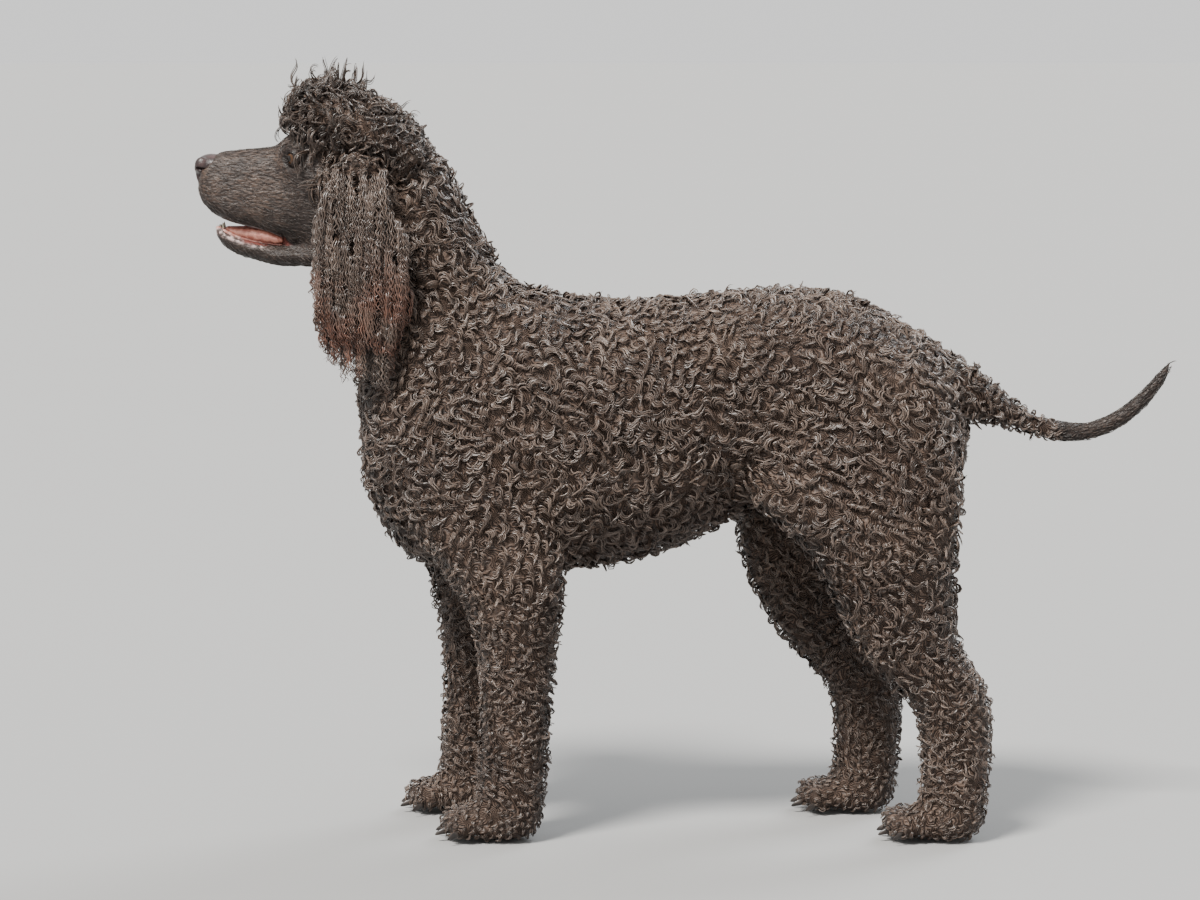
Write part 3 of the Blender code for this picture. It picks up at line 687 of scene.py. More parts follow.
for side in SIDES:
    gaze, width, height = eye_axes(side)
    tilt = Vector(gaze).to_track_quat("Z", "Y").to_euler()
    turn = [math.degrees(angle) for angle in tilt]
    eye = swelling(f"eyeball_{side}", eyes_at[side], (EYE_RADIUS,) * 3, turn, segments=48)
    out = points_of(eye) - np.array(eyes_at[side])
    heading = out / np.linalg.norm(out, axis=1)[:, None]
    off_gaze = np.arccos(np.clip(heading @ gaze, -1, 1))
    bulge = np.cos(np.clip(off_gaze / CORNEA_EDGE, 0, 1) * math.pi / 2) ** 2
    set_points(eye, np.array(eyes_at[side]) + out + heading * (CORNEA_RISE * bulge)[:, None])
    keep(eye, "off_gaze", off_gaze)
    mounted(eye, "eye", f"eye_{side}")
    wet = Finish(f"eye_{side}", MOIST_GLOBE)
    angle = wet.stored("off_gaze")
    fibres = wet.noise(900.0, 3.0)
    iris = wet.add("ShaderNodeValToRGB", {"stops": IRIS}, {0: angle + fibres * 0.03 - 0.015})
    coloured(eye, wet.give(Base_Color=iris))

# ---- 8. the nose --------------------------------------------------------------------------
# Large liver-coloured leather pad, flattened in front, with comma nostrils that open to the
# sides, a groove down the middle, and a strip that runs down towards the lip.
NOSE_GRID = 0.0008
NOSE_TILT = (0, -14, 0)
PAD_FORMS = (  # place from the middle of the nose, radii, turn in degrees
    ((0, 0, 0), (0.0172, 0.0178, 0.0124), NOSE_TILT),
    ((0.0075, 0, -0.0005), (0.0130, 0.0192, 0.0128), NOSE_TILT),  # its root on the muzzle
    ((-0.0110, 0, -0.0110), (0.0040, 0.0042, 0.0110), (0, -12, 0)),  # strip towards the lip
    ((-0.0065, -0.0118, 0.0005), (0.0088, 0.0062, 0.0094), (0, 0, 0)),  # wings
    ((-0.0065, 0.0118, 0.0005), (0.0088, 0.0062, 0.0094), (0, 0, 0)),
)
NOSTRIL = ((-0.0150, 0.0080, -0.0005), (0.0062, 0.0034, 0.0042))
NOSTRIL_SLIT = ((-0.0088, 0.0152, -0.0030), (0.0072, 0.0042, 0.0013))
GROOVE = ((-0.0165, 0, -0.0040), (0.0080, 0.0011, 0.0110), -0.0014)
FLAT_FRONT = ((-0.0190, 0, 0.0020), (0.0060, 0.0120, 0.0080), -0.0010)
NOSE_DARK = (0.016, 0.010, 0.010, 1)
NOSE_PINK = (0.105, 0.058, 0.056, 1)
nose_at = middle_of("nose")


def on_nose(x, y, z, side=1):
    return nose_at + Vector((x, side * y, z))


forms = [swelling("pad", on_nose(*place), radii, turn) for place, radii, turn in PAD_FORMS]
pad = together("nose_pad", forms)
shaped(pad, "REMESH", mode="VOXEL", voxel_size=NOSE_GRID)
shaped(pad, "SMOOTH", factor=0.5, iterations=8)
for side in (-1, 1):
    (round_at, round_radii), (slit_at, slit_radii) = NOSTRIL, NOSTRIL_SLIT
    nostril = [
        swelling("nostril", on_nose(*round_at, side), round_radii),
        swelling("nostril_slit", on_nose(*slit_at, side), slit_radii, (side * 16, 10, 0)),
    ]
    for hole in nostril:
        shaped(pad, "BOOLEAN", object=hole, operation="DIFFERENCE", solver="MANIFOLD")
        bpy.data.objects.remove(hole)
shaped(pad, "REMESH", mode="VOXEL", voxel_size=NOSE_GRID)
shaped(pad, "SMOOTH", factor=0.5, iterations=3)
worn(pad, *[(on_nose(*place), radii, push) for place, radii, push in (GROOVE, FLAT_FRONT)])
mounted(pad, "nose_leather", "nose")
moist = Finish("nose_leather", {"Specular IOR Level": 0.35, "Coat Roughness": 0.25, "Coat Weight": 0.12})
cell_inputs = {"Vector": moist.place, "Scale": 720.0}
cells = moist.add("ShaderNodeTexVoronoi", {"feature": "DISTANCE_TO_EDGE"}, cell_inputs, out="Distance")
pebbles = cells.within(0.0, 0.32)
flush = moist.noise(85.0, 2.0).within(0.35, 0.7)
ahead = moist.add("ShaderNodeSeparateXYZ", {}, {0: moist.place}, out="X")
# Painted shade: the front of the pad is darker than the rest.
front = ahead.within(nose_at.x - 0.006, nose_at.x - 0.014)
moist.give(
    Base_Color=moist.mixed((flush * 0.40 + pebbles * 0.12) * (1 - front * 0.75), NOSE_DARK, NOSE_PINK),
    Roughness=0.40 - pebbles * 0.14,
    Normal=moist.relief(pebbles, 0.0002, strength=0.5),
)
coloured(pad, moist.material)

# ---- 9. the mouth -------------------------------------------------------------------------
# It hangs a little open: a wet pink tongue with a furrow down it, the pale inner edge of the
# lower lip, the dark edge of the upper one, and the front teeth of the lower jaw.
TONGUE_GRID = 0.0012
TONGUE_PINK = (0.620, 0.270, 0.200, 1)
TONGUE_DEEP = (0.420, 0.140, 0.105, 1)
GUM_PINK = (0.640, 0.370, 0.310, 1)
LIP_DARK = (0.036, 0.020, 0.018, 1)
LIP_BROWN = (0.085, 0.050, 0.045, 1)
TOOTH = (0.340, 0.300, 0.220, 1)
TOOTH_STAIN = (0.240, 0.170, 0.090, 1)
FURROW = (0.0020, 0.0016)  # half width and depth, along the middle of the tongue
RIM_SPAN = (0.010, 0.019)  # from the middle, where the tongue's edge curls up
FRILLS = 620  # ripples of the edge, in radians to a metre
LOWER_LIP = (  # along the head and up, a little inside the open mouth
    (-0.4400, 0.6490), (-0.4520, 0.6490), (-0.4650, 0.6510), (-0.4780, 0.6545),
    (-0.4900, 0.6580), (-0.5000, 0.6620), (-0.5080, 0.6660),
)
UPPER_LIP = (
    (-0.4380, 0.6560), (-0.4500, 0.6590), (-0.4650, 0.6625), (-0.4800, 0.6650),
    (-0.4930, 0.6690), (-0.5040, 0.6745), (-0.5130, 0.6810),
)
CHIN = Vector((-0.5150, 0, 0.6670))  # where the two sides of the lower lip meet
LIP_STEP = 0.0004
HALF_JAW = 0.03
CANINE = ((-0.5060, 0.0090, 0.6690), 0.0021, 0.0085, -8)  # place, radius, height, lean in degrees
INCISORS = [((-0.5105 + 0.0007 * n, 0.0013 + 0.0024 * n, 0.6685), 0.0012, 0.0036, -3) for n in range(3)]


def wet_flesh(name, deep, pale, spot, roughness):
    """Moist lining, mottled between two tones."""
    finish = Finish(name, {"Specular IOR Level": 0.6, "Coat Weight": 0.5, "Coat Roughness": 0.12})
    grain = finish.noise(spot, 3.0)
    fine = finish.noise(1500.0, 2.0)
    return finish.give(
        Base_Color=finish.mixed(grain.within(0.35, 0.65), deep, pale),
        Roughness=roughness + fine * 0.12,
        Normal=finish.relief(fine, 0.0003, under=finish.relief(grain, 0.0005)),
    )


def lip_line(stations, side, drop, step):
    """Points along a lip: at each place in the open mouth, stepping until the face is met."""
    line = []
    for x, z in stations:
        hit = None
        start = z
        while (hit is None or abs(hit.y) < 0.35 * HALF_JAW) and abs(z - start) < 2 * HALF_JAW:
            z += step
            hit = outline["hide"].ray_cast(Vector((x, side * 0.08, z)), Vector((0, -side, 0)))[0]
        line.append(hit + Vector((0, -side * drop, 0)))
    return line


def lip(name, line, radius, material):
    """A soft roll along a lip, thicker in the middle than at its ends."""
    curve = bpy.data.curves.new(name, "CURVE")
    curve.dimensions = "3D"
    curve.bevel_depth, curve.bevel_resolution = radius, 3
    curve.use_fill_caps = True
    curve.resolution_u = 6
    spline = curve.splines.new("NURBS")
    spline.points.add(len(line) - 1)
    for index, (point, place) in enumerate(zip(spline.points, line)):
        point.co = (*place, 1)
        from_end = min(index, len(line) - 1 - index)
        point.radius = min(1.0, 0.35 + from_end * 0.22)
    spline.use_endpoint_u = True
    spline.order_u = 4
    roll = bpy.data.objects.new(name, curve)
    bpy.context.collection.objects.link(roll)
    only(roll)
    bpy.ops.object.convert(target="MESH")
    mounted(merged(roll), "mouth")
    coloured(roll, material)


tongue = flesh("tongue_wet", ["tongue"], TONGUE_GRID, evenings=6)
at = points_of(tongue)
upper = rise(normals_of(tongue)[:, 2], 0.2, 0.7)
furrow = np.exp(-((at[:, 1] / FURROW[0]) ** 2)) * FURROW[1]
rim = rise(np.abs(at[:, 1]), *RIM_SPAN)
ripple = np.sin(at[:, 0] * FRILLS) * 0.0004 * rim
at[:, 2] += upper * (rim * 0.0010 - furrow) + ripple
at[:, 1] += np.sign(at[:, 1]) * rim * 0.0008
set_points(tongue, at)
mounted(tongue, "mouth", "tongue")
coloured(tongue, wet_flesh("tongue_flesh", TONGUE_DEEP, TONGUE_PINK, 260.0, 0.28))

outline["hide"] = surface_of(hide)
gum = wet_flesh("lip_lining", TONGUE_DEEP, GUM_PINK, 190.0, 0.30)
dark_lip = wet_flesh("lip_edge", LIP_DARK, LIP_BROWN, 230.0, 0.34)
right_lip, left_lip = (lip_line(LOWER_LIP, side, 0.0016, -LIP_STEP) for side in (1, -1))
lip("lower_lip", right_lip + [CHIN] + left_lip[::-1], 0.0025, gum)
for side, name in ((-1, "left"), (1, "right")):
    lip(f"upper_lip_{name}", lip_line(UPPER_LIP, side, 0.0008, LIP_STEP), 0.0013, dark_lip)

teeth = []
for side in (-1, 1):
    for (x, y, z), thickness, height, lean in [CANINE] + INCISORS:
        bpy.ops.object.select_all(action="DESELECT")
        bpy.ops.mesh.primitive_cone_add(
            vertices=12,
            radius1=thickness,
            radius2=thickness * 0.25,
            depth=height,
            location=(x, side * y, z),
            rotation=(math.radians(lean * side), math.radians(-6), 0),
        )
        tooth = bpy.context.active_object
        shaped(tooth, "SUBSURF", levels=2, render_levels=2)
        only(tooth)
        bpy.ops.object.transform_apply(location=True, rotation=True, scale=True)
        teeth.append(tooth)
ivory = Finish("tooth_ivory", {"Roughness": 0.25, "Specular IOR Level": 0.5, "Coat Weight": 0.4})
stain = ivory.noise(300.0, 2.0).within(0.3, 0.8)
ivory.give(Base_Color=ivory.mixed(stain * 0.4, TOOTH, TOOTH_STAIN))
lower_teeth = together("lower_teeth", teeth)
mounted(lower_teeth, "mouth")
coloured(lower_teeth, ivory.material)

# ---- 10. the claws ------------------------------------------------------------------------
# Four short, blunt, dark horn claws on each foot, curving down out of the toe hair.
TOE_FAN = (-37, -11, 11, 37)  # degrees either side of straight ahead
TOE_REACH = 0.055  # from the middle of the foot to the middle of a toe
TOE_TIP = 0.0075  # from there to the claw
FOOT_MIDDLE = 0.0755  # behind the front of the foot
CLAW_LENGTH = 0.018
CLAW_RADIUS = 0.0046
CLAW_TIP = 0.0018
CLAW_RISE = 0.0125  # of its root, above the floor
CLAW_SINK = 0.0050  # of its tip, below its root
CLAW_TALL = 1.2  # times its width
FAN_WIDTH = 0.9  # the fan is a little narrower than round
CLAW_WIDTH = 0.8
HORN_DARK = (0.010, 0.007, 0.006, 1)
HORN_PALE = (0.042, 0.031, 0.026, 1)
horn = Finish("claw_horn", {"Specular IOR Level": 0.5, "Coat Weight": 0.15})
grain = horn.noise(300.0, 3.0, stretch=(0.15, 1.0, 1.0))
horn.give(
    Base_Color=horn.mixed(grain.within(0.3, 0.75), HORN_DARK, HORN_PALE),
    Roughness=0.32 + grain * 0.18,
    Normal=horn.relief(grain, 0.0003),
)
for foot in FEET:
    low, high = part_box(foot)
    heel = Vector((low.x + FOOT_MIDDLE, (low.y + high.y) / 2, 0.0))
    claws = []
    for fan in map(math.radians, TOE_FAN):
        bpy.ops.object.select_all(action="DESELECT")
        bpy.ops.mesh.primitive_cone_add(
            vertices=14, radius1=CLAW_RADIUS, radius2=CLAW_TIP, depth=CLAW_LENGTH
        )
        claw = bpy.context.active_object
        shaped(claw, "SUBSURF", levels=2, render_levels=2)
        tall, across, out = points_of(claw).T
        ahead = -out - CLAW_LENGTH / 2
        sink = (out / CLAW_LENGTH + 0.5) ** 2 * CLAW_SINK
        toe = heel + Vector((-math.cos(fan), math.sin(fan) * FAN_WIDTH, 0)) * (TOE_REACH + TOE_TIP)
        curved = np.stack([
            ahead * math.cos(fan) - across * math.sin(fan) * CLAW_WIDTH,
            -ahead * math.sin(fan) * FAN_WIDTH + across * math.cos(fan) * CLAW_WIDTH,
            tall * CLAW_TALL + CLAW_RISE - sink,
        ], axis=1)
        set_points(claw, curved + np.array(toe))
        claws.append(merged(claw))
    paw = together(f"claws_{foot}", claws)
    mounted(paw, "nose_leather")
    coloured(paw, horn.material)

# ---- 11. how the coat is rooted -----------------------------------------------------------
# Every lock of the coat is solid, and starts at a root on the hide. The hide's triangles tell
# where a root may be, which way is out, what part of the dog it is on, how far it is to the
# outline of the coat, and where it lies on the hide's unwrap.
draw = np.random.default_rng(1834)
STRAND_SIDES = 3
PATCH = 0.003  # of the unwrap, for each strand
TRIES = 7  # roots tried for each that finds room
FULL_CIRCLE = 6.28
ALL_FLESH = ["trunk", "neck", "tail_root", "tail_whip", "head", "lower_jaw", "topknot"] + FEET + [
    f"{part}_{side}" for part in ("foreleg", "thigh", "hock", "ear") for side in SIDES
]
OUTLINE_OF = {"topknot": "crown", "head": "face", "lower_jaw": "face", "tail_whip": "whip"}
OUTLINE_OF.update({node: node for node in FEET + ["ear_left", "ear_right"]})

mesh = hide.data
mesh.calc_loop_triangles()


def read_triangles(field):
    values = np.empty(len(mesh.loop_triangles) * 3, np.int32)
    mesh.loop_triangles.foreach_get(field, values)
    return values.reshape(-1, 3)


uv = np.empty(len(mesh.loops) * 2, np.float32)
mesh.uv_layers.active.data.foreach_get("uv", uv)
corner_uv = uv.reshape(-1, 2)[read_triangles("loops")]
corner_at = points_of(hide)[read_triangles("vertices")]
corner_out = normals_of(hide)[read_triangles("vertices")]
centres = corner_at.mean(axis=1)
one_edge, other_edge = corner_at[:, 1] - corner_at[:, 0], corner_at[:, 2] - corner_at[:, 0]
areas = np.linalg.norm(np.cross(one_edge, other_edge), axis=1) / 2
owners = nearest_node(centres, ALL_FLESH)
parts = np.array([kind_of(node) for node in owners])
reaches = np.array([
    outline[OUTLINE_OF.get(node, "body")].find_nearest(point)[3] for node, point in zip(owners, centres)
])


def unit(vectors):
    return vectors / np.maximum(np.linalg.norm(vectors, axis=-1, keepdims=True), 1e-9)


def rooted(chosen, gap):
    """Roots spread evenly over the chosen triangles, no two nearer than the gap."""
    triangles = np.flatnonzero(chosen)
    weights = areas[triangles]
    tries = int(weights.sum() / gap**2 * TRIES)
    picked = triangles[draw.choice(len(triangles), tries, p=weights / weights.sum())]
    one, two = draw.random(tries), draw.random(tries)
    over = one + two > 1
    one[over], two[over] = 1 - one[over], 1 - two[over]
    shares = np.stack([1 - one - two, one, two], axis=1)[:, :, None]
    at = (corner_at[picked] * shares).sum(axis=1)
    near = [(i, j, k) for i in (-1, 0, 1) for j in (-1, 0, 1) for k in (-1, 0, 1)]
    kept, taken = [], {}
    for index, ((x, y, z), point) in enumerate(zip(np.floor(at / gap).astype(int).tolist(), at)):
        others = [other for i, j, k in near for other in taken.get((x + i, y + j, z + k), ())]
        if all(((point - other) ** 2).sum() > gap * gap for other in others):
            kept.append(index)
            taken.setdefault((x, y, z), []).append(point)
    first = np.array(kept)
    return {
        "at": at[first],
        "out": unit((corner_out[picked[first]] * shares[first]).sum(axis=1)),
        "uv": (corner_uv[picked[first]] * shares[first]).sum(axis=1),
        "part": parts[picked[first]],
        "reach": reaches[picked[first]],
    }


def drift(at, scale, seed):
    """A smooth field through the dog, about -1 to 1, that makes neighbouring locks alike."""
    field = np.random.default_rng(seed)
    waves = field.normal(size=(6, 3)) / scale
    return np.sin(at @ waves.T + field.random(6) * FULL_CIRCLE).sum(axis=1) / 2.45


def strand_faces(rings):
    """The faces of a strand with so many rings and a tip: each corner's ring and side, and sizes."""
    corners, sizes = [], []
    for ring in range(rings - 1):
        for side in range(STRAND_SIDES):
            corners += [(ring, side), (ring, side + 1), (ring + 1, side + 1), (ring + 1, side)]
            sizes.append(4)
    for side in range(STRAND_SIDES):
        corners += [(rings - 1, side), (rings - 1, side + 1), (rings, side + 0.5)]
        sizes.append(3)
    corners += [(0, side) for side in reversed(range(STRAND_SIDES))]
    return np.array(corners), sizes + [STRAND_SIDES]


def strand_points(lines, widths):
    """Rings round each line, tapering with its widths, and a point at its tip."""
    count, rings = widths.shape
    along = unit(np.gradient(lines, axis=1))
    across = unit(np.cross(along[:, 0], draw.normal(size=(count, 3))))
    turn = np.arange(STRAND_SIDES) * 2 * math.pi / STRAND_SIDES
    cosines, sines = np.cos(turn)[None, :, None], np.sin(turn)[None, :, None]
    points = np.empty((count, rings * STRAND_SIDES + 1, 3), np.float32)
    for ring in range(rings):
        across = unit(across - along[:, ring] * (across * along[:, ring]).sum(axis=1)[:, None])
        second = np.cross(along[:, ring], across)
        circle = (across[:, None] * cosines + second[:, None] * sines) * widths[:, ring, None, None]
        points[:, ring * STRAND_SIDES:(ring + 1) * STRAND_SIDES] = lines[:, ring, None] + circle
    points[:, -1] = lines[:, -1]
    return points


def tubes(name, lines, widths, uvs, shades):
    """Closed tapering strands in one mesh: lines is strand, step, place; the last step is the tip."""
    count, rings = widths.shape
    points = strand_points(lines, widths)
    corners, sizes = strand_faces(rings)
    on_tip = corners[:, 0] == rings
    indices = corners[:, 0] * STRAND_SIDES + np.where(on_tip, 0, corners[:, 1] % STRAND_SIDES)
    all_corners = indices + np.arange(count)[:, None] * points.shape[1]
    starts = np.concatenate([[0], np.cumsum(np.tile(sizes, count))[:-1]])
    strands = bpy.data.meshes.new(name)
    strands.vertices.add(count * points.shape[1])
    strands.vertices.foreach_set("co", points.ravel())
    strands.loops.add(all_corners.size)
    strands.loops.foreach_set("vertex_index", all_corners.ravel().astype(np.int32))
    strands.polygons.add(len(starts))
    strands.polygons.foreach_set("loop_start", starts.astype(np.int32))
    strands.update(calc_edges=True)
    patch = (corners / (rings, STRAND_SIDES) - 0.5) * PATCH
    bake = strands.uv_layers.new(name="OFBake")
    bake.data.foreach_set("uv", (uvs[:, None] + patch[None]).astype(np.float32).ravel())
    piece = bpy.data.objects.new(name, strands)
    bpy.context.collection.objects.link(piece)
    step = np.append(np.repeat(np.arange(rings), STRAND_SIDES), rings) / rings
    keep(piece, "along", np.tile(step, count))
    keep(piece, "lock_shade", np.repeat(shades, points.shape[1]))
    return piece


# ---- 12. the curls ------------------------------------------------------------------------
# Dense crisp curls all over trunk, neck, legs and the root of the tail. A curl is a lock of a few
# strands that wave side by side: it rises from the hide, lies over and tucks its tip in, and
# covers the roots of the next. Curls swirl this way and that, and are smallest on the legs.
CURLS = {  # strand's length, bend in degrees, steps; strands in a lock, half width, apart; locks apart
    "trunk": (0.0225, 76, 7, 5, 0.00087, 0.00190, 0.0099),
    "neck": (0.0235, 76, 7, 5, 0.00087, 0.00190, 0.0099),
    "foreleg": (0.0150, 80, 6, 4, 0.00076, 0.00172, 0.0076),
    "thigh": (0.0185, 80, 7, 5, 0.00083, 0.00182, 0.0094),
    "hock": (0.0145, 80, 6, 4, 0.00074, 0.00168, 0.0076),
    "tail_root": (0.0140, 80, 7, 4, 0.00092, 0.00175, 0.0072),
    "topknot": (0.0200, 92, 8, 4, 0.00078, 0.00180, 0.0072),
    "head": (0.0155, 90, 7, 4, 0.00076, 0.00175, 0.0070),
    "ear": (0.0160, 90, 7, 4, 0.00078, 0.00178, 0.0070),
    "forefoot": (0.0100, 42, 5, 3, 0.00070, 0.00145, 0.0069),
    "hindfoot": (0.0100, 42, 5, 3, 0.00070, 0.00145, 0.0069),
    "tail_whip": (0.0090, 14, 4, 2, 0.00034, 0.00090, 0.0032),
}
HAIR_LIES = {  # the way the coat lies on each part
    "trunk": (0.75, 0.0, -0.65),
    "neck": (0.35, 0.0, -0.90),
    "foreleg": (0.15, 0.0, -1.0),
    "thigh": (0.30, 0.0, -1.0),
    "hock": (0.10, 0.0, -1.0),
    "tail_root": (0.85, 0.0, -0.45),
    "topknot": (0.55, 0.0, -0.80),
    "head": (0.40, 0.0, -0.90),
    "ear": (0.0, 0.0, -1.0),
    "forefoot": (-0.80, 0.0, -0.60),
    "hindfoot": (-0.80, 0.0, -0.60),
    "tail_whip": (0.80, 0.0, 0.40),
}
CLIMB = ((0, 0.16, 0.36, 0.75, 1.0), (-0.15, 0.70, 1.0, 0.92, 0.60))  # of a curl: share of its length, height
CURL_TAPER = ((0, 0.2, 0.65, 1.0), (0.75, 1.0, 0.92, 0.35))
FLAT_CURLS = 0.12  # of all, that lie on their side
THINNEST = 0.0022  # the coat is nowhere thinner, and no thicker than
THICKEST = 0.013
HAIRS_ROUND = 5  # ridges round a strand, which make a bundle of hairs of it
WAIST = -0.015  # the trunk's pieces part here, along the dog
MIDRIFF = 0.440  # and here, in height
SOLES = 0.006  # no hair under the feet


def lying(out, way):
    """The way the hair lies, along the hide."""
    way = np.broadcast_to(np.array(way, float), out.shape)
    return unit(way - out * (way * out).sum(axis=1)[:, None])


def varied(count, spread, mean=1.0):
    """Sizes round a mean, none of them extreme."""
    return mean * (1 + spread * draw.normal(size=count)).clip(1 - 2.2 * spread, 1 + 2.2 * spread)


def bundled(roots, lines, widths, shades):
    """The strands of locks as one set: lines, widths, places on the unwrap, and shades."""
    uvs = np.tile(roots["uv"], (len(lines), 1))
    return np.concatenate(lines), np.concatenate(widths), uvs, np.concatenate(shades)


def curl_lines(roots, part, seed, swirl=1.25, lift=1.0):
    """The strands of curls. Neighbours swirl alike, and a few lie on their side."""
    length, bend, steps, strands, half_width, apart, _ = CURLS[part]
    at, out = roots["at"], roots["out"]
    count = len(at)
    lie = lying(out, HAIR_LIES[part])
    swing = drift(at, 0.032, seed) * swirl * 1.1 + draw.normal(size=count) * 0.26 * swirl
    lie = lie * np.cos(swing)[:, None] + np.cross(out, lie) * np.sin(swing)[:, None]
    roll = np.where(draw.random(count) < FLAT_CURLS, 1.25, 0.38) * draw.normal(size=count)
    aside = np.cross(out, lie) * np.cos(roll)[:, None] + out * np.sin(roll)[:, None]
    size = varied(count, 0.12) * (1 + 0.14 * drift(at, 0.035, seed + 2))
    hand = np.where(drift(at, 0.020, seed + 3) + draw.normal(size=count) * 0.4 > 0, 0.0, math.pi)
    cycles = 0.50 + 0.35 * draw.random(count)
    bends = math.radians(bend) * varied(count, 0.16)
    reach = np.clip(roots["reach"], THINNEST, THICKEST) - half_width
    top = reach * lift * np.minimum(varied(count, 0.15, 0.90), 1.05)
    share = np.linspace(0, 1, steps)
    climb = np.interp(share, *CLIMB)
    taper = np.interp(share[:-1], *CURL_TAPER)
    shade = 0.5 + 0.20 * drift(at, 0.05, seed + 4) + 0.15 * draw.normal(size=count)
    # Painted shade: curls that rise less, lying lower in the coat, are darker.
    shade += (top / reach / lift - 0.9) * 1.1
    lines, widths, shades = [], [], []
    for strand in range(strands):
        place = strand - (strands - 1) / 2
        step = (length * size * varied(count, 0.10))[:, None] / (steps - 1)
        start = (hand + 0.25 * draw.normal(size=count))[:, None]
        heading = bends[:, None] * np.cos(2 * math.pi * cycles[:, None] * share + start)
        forward = np.cumsum(np.cos(heading) * step, axis=1)
        forward -= forward[:, -1:] * 0.45
        sideways = np.cumsum(np.sin(heading) * step, axis=1)
        beside = place * apart + 0.0003 * draw.normal(size=count)
        sideways -= sideways.mean(axis=1, keepdims=True) - beside[:, None]
        height = top * (1 - 0.10 * place**2 / strands) * varied(count, 0.07)
        line = at[:, None] + out[:, None] * (climb[None] * height[:, None])[:, :, None]
        line = line + lie[:, None] * forward[:, :, None] + aside[:, None] * sideways[:, :, None]
        lines.append(line)
        widths.append(varied(count, 0.17, half_width)[:, None] * taper)
        shades.append(shade + 0.10 * draw.normal(size=count))
    return bundled(roots, lines, widths, shades)


def curls_on(part, where, seed, **changes):
    return curl_lines(rooted((parts == part) & where, CURLS[part][-1]), part, seed, **changes)


def hair(name, material, *sets, slot="coat"):
    """A piece of the coat, from sets of strands with as many steps."""
    piece = tubes(name, *[np.concatenate(rows) for rows in zip(*sets)])
    mounted(piece, slot)
    coloured(piece, material)
    return piece


def hair_finish(name, tone_shift, roughness):
    """Glossy strands, each of its own tone, with painted shade that darkens them towards the root and in the
    grooves between their hairs.
    """
    finish = Finish(name, {"Specular IOR Level": 0.85})
    along, lock = finish.stored("along"), finish.stored("lock_shade")
    # Painted shade: darker towards the root, deep in the coat, and in the grooves between the ridges of
    # hairs.
    tone = lock * 0.46 + along.within(0.0, 0.45) * 0.30 + tone_shift + 0.10
    patch = finish.add("ShaderNodeUVMap", {"uv_map": "OFBake"}, {})
    round_it = finish.add("ShaderNodeSeparateXYZ", {}, {0: patch}, out="Y")
    ridges = round_it * (2 * math.pi * HAIRS_ROUND / PATCH)
    hairs = finish.add("ShaderNodeMath", {"operation": "SINE"}, {0: ridges})
    strands = finish.noise(900.0, 2.0)
    return finish.give(
        Base_Color=liver(finish, tone + strands * 0.16 + hairs * 0.13),
        Roughness=roughness + strands * 0.12,
        Normal=finish.relief(hairs, 0.00035, strength=0.8),
    )


curl_coat = hair_finish("liver_curls", -0.04, 0.32)
short_coat = hair_finish("liver_short_hair", -0.30, 0.45)
x, y, z = centres.T
everywhere = areas > 0
side_of = {"left": y < 0, "right": y >= 0}
quarters = {
    "shoulder": (x < WAIST) & (z > MIDRIFF),
    "rump": (x >= WAIST) & (z > MIDRIFF),
    "chest": (x < WAIST) & (z <= MIDRIFF),
    "flank": (x >= WAIST) & (z <= MIDRIFF),
}
for side in SIDES:
    for quarter, within in quarters.items():
        hair(f"coat_{quarter}_{side}", curl_coat, curls_on("trunk", side_of[side] & within, 10))
    for part, seed in (("foreleg", 20), ("thigh", 30), ("hock", 40)):
        hair(f"coat_{part}_{side}", curl_coat, curls_on(part, side_of[side], seed))
hair("coat_neck", curl_coat, curls_on("neck", everywhere, 50))
hair("coat_tail_root", curl_coat, curls_on("tail_root", everywhere, 60))
paws = [curls_on(foot, z > SOLES, 64, swirl=0.4, lift=0.75) for foot in ("forefoot", "hindfoot")]
hair("coat_feet", curl_coat, *paws)
hair("coat_tail_whip", short_coat, curls_on("tail_whip", everywhere, 67, swirl=0.15, lift=0.55))

# ---- 13. the ears -------------------------------------------------------------------------
# Curtains of long crimped strands, in bundles that share their waves. They grow from the leather
# all the way down, hang one over the other, and end in loose curled tips below it.
EAR_STRAND = 0.052
EAR_STEPS = 24
EAR_STRANDS = 4  # in a bundle
EAR_HALF_WIDTH = 0.00094
EAR_APART = 0.0021
EAR_CRIMP = 0.00155
EAR_WAVE = 0.0100
EAR_GAP = 0.0093
EAR_RIM_GAP = 0.0066  # closer along the two edges, which the coat reaches furthest past
EAR_DEPTHS = (0.0004, 0.0064)  # how far the bundles lie under the outline of the ear's coat
EAR_RIM_DEPTHS = (-0.0025, 0.0025)
EAR_TOP = 0.736  # ringlets of the topknot cover the ear above
EAR_TAPER = ((0, 0.15, 0.7, 1.0), (0.7, 1.0, 0.9, 0.35))
TURNED_AWAY = 0.55  # where the outline faces down this much, the ear ends and strands hang free
TOO_FAR = 0.016  # or where the outline is further off than this
DOWN = np.array((0.0, 0.0, -1.0))


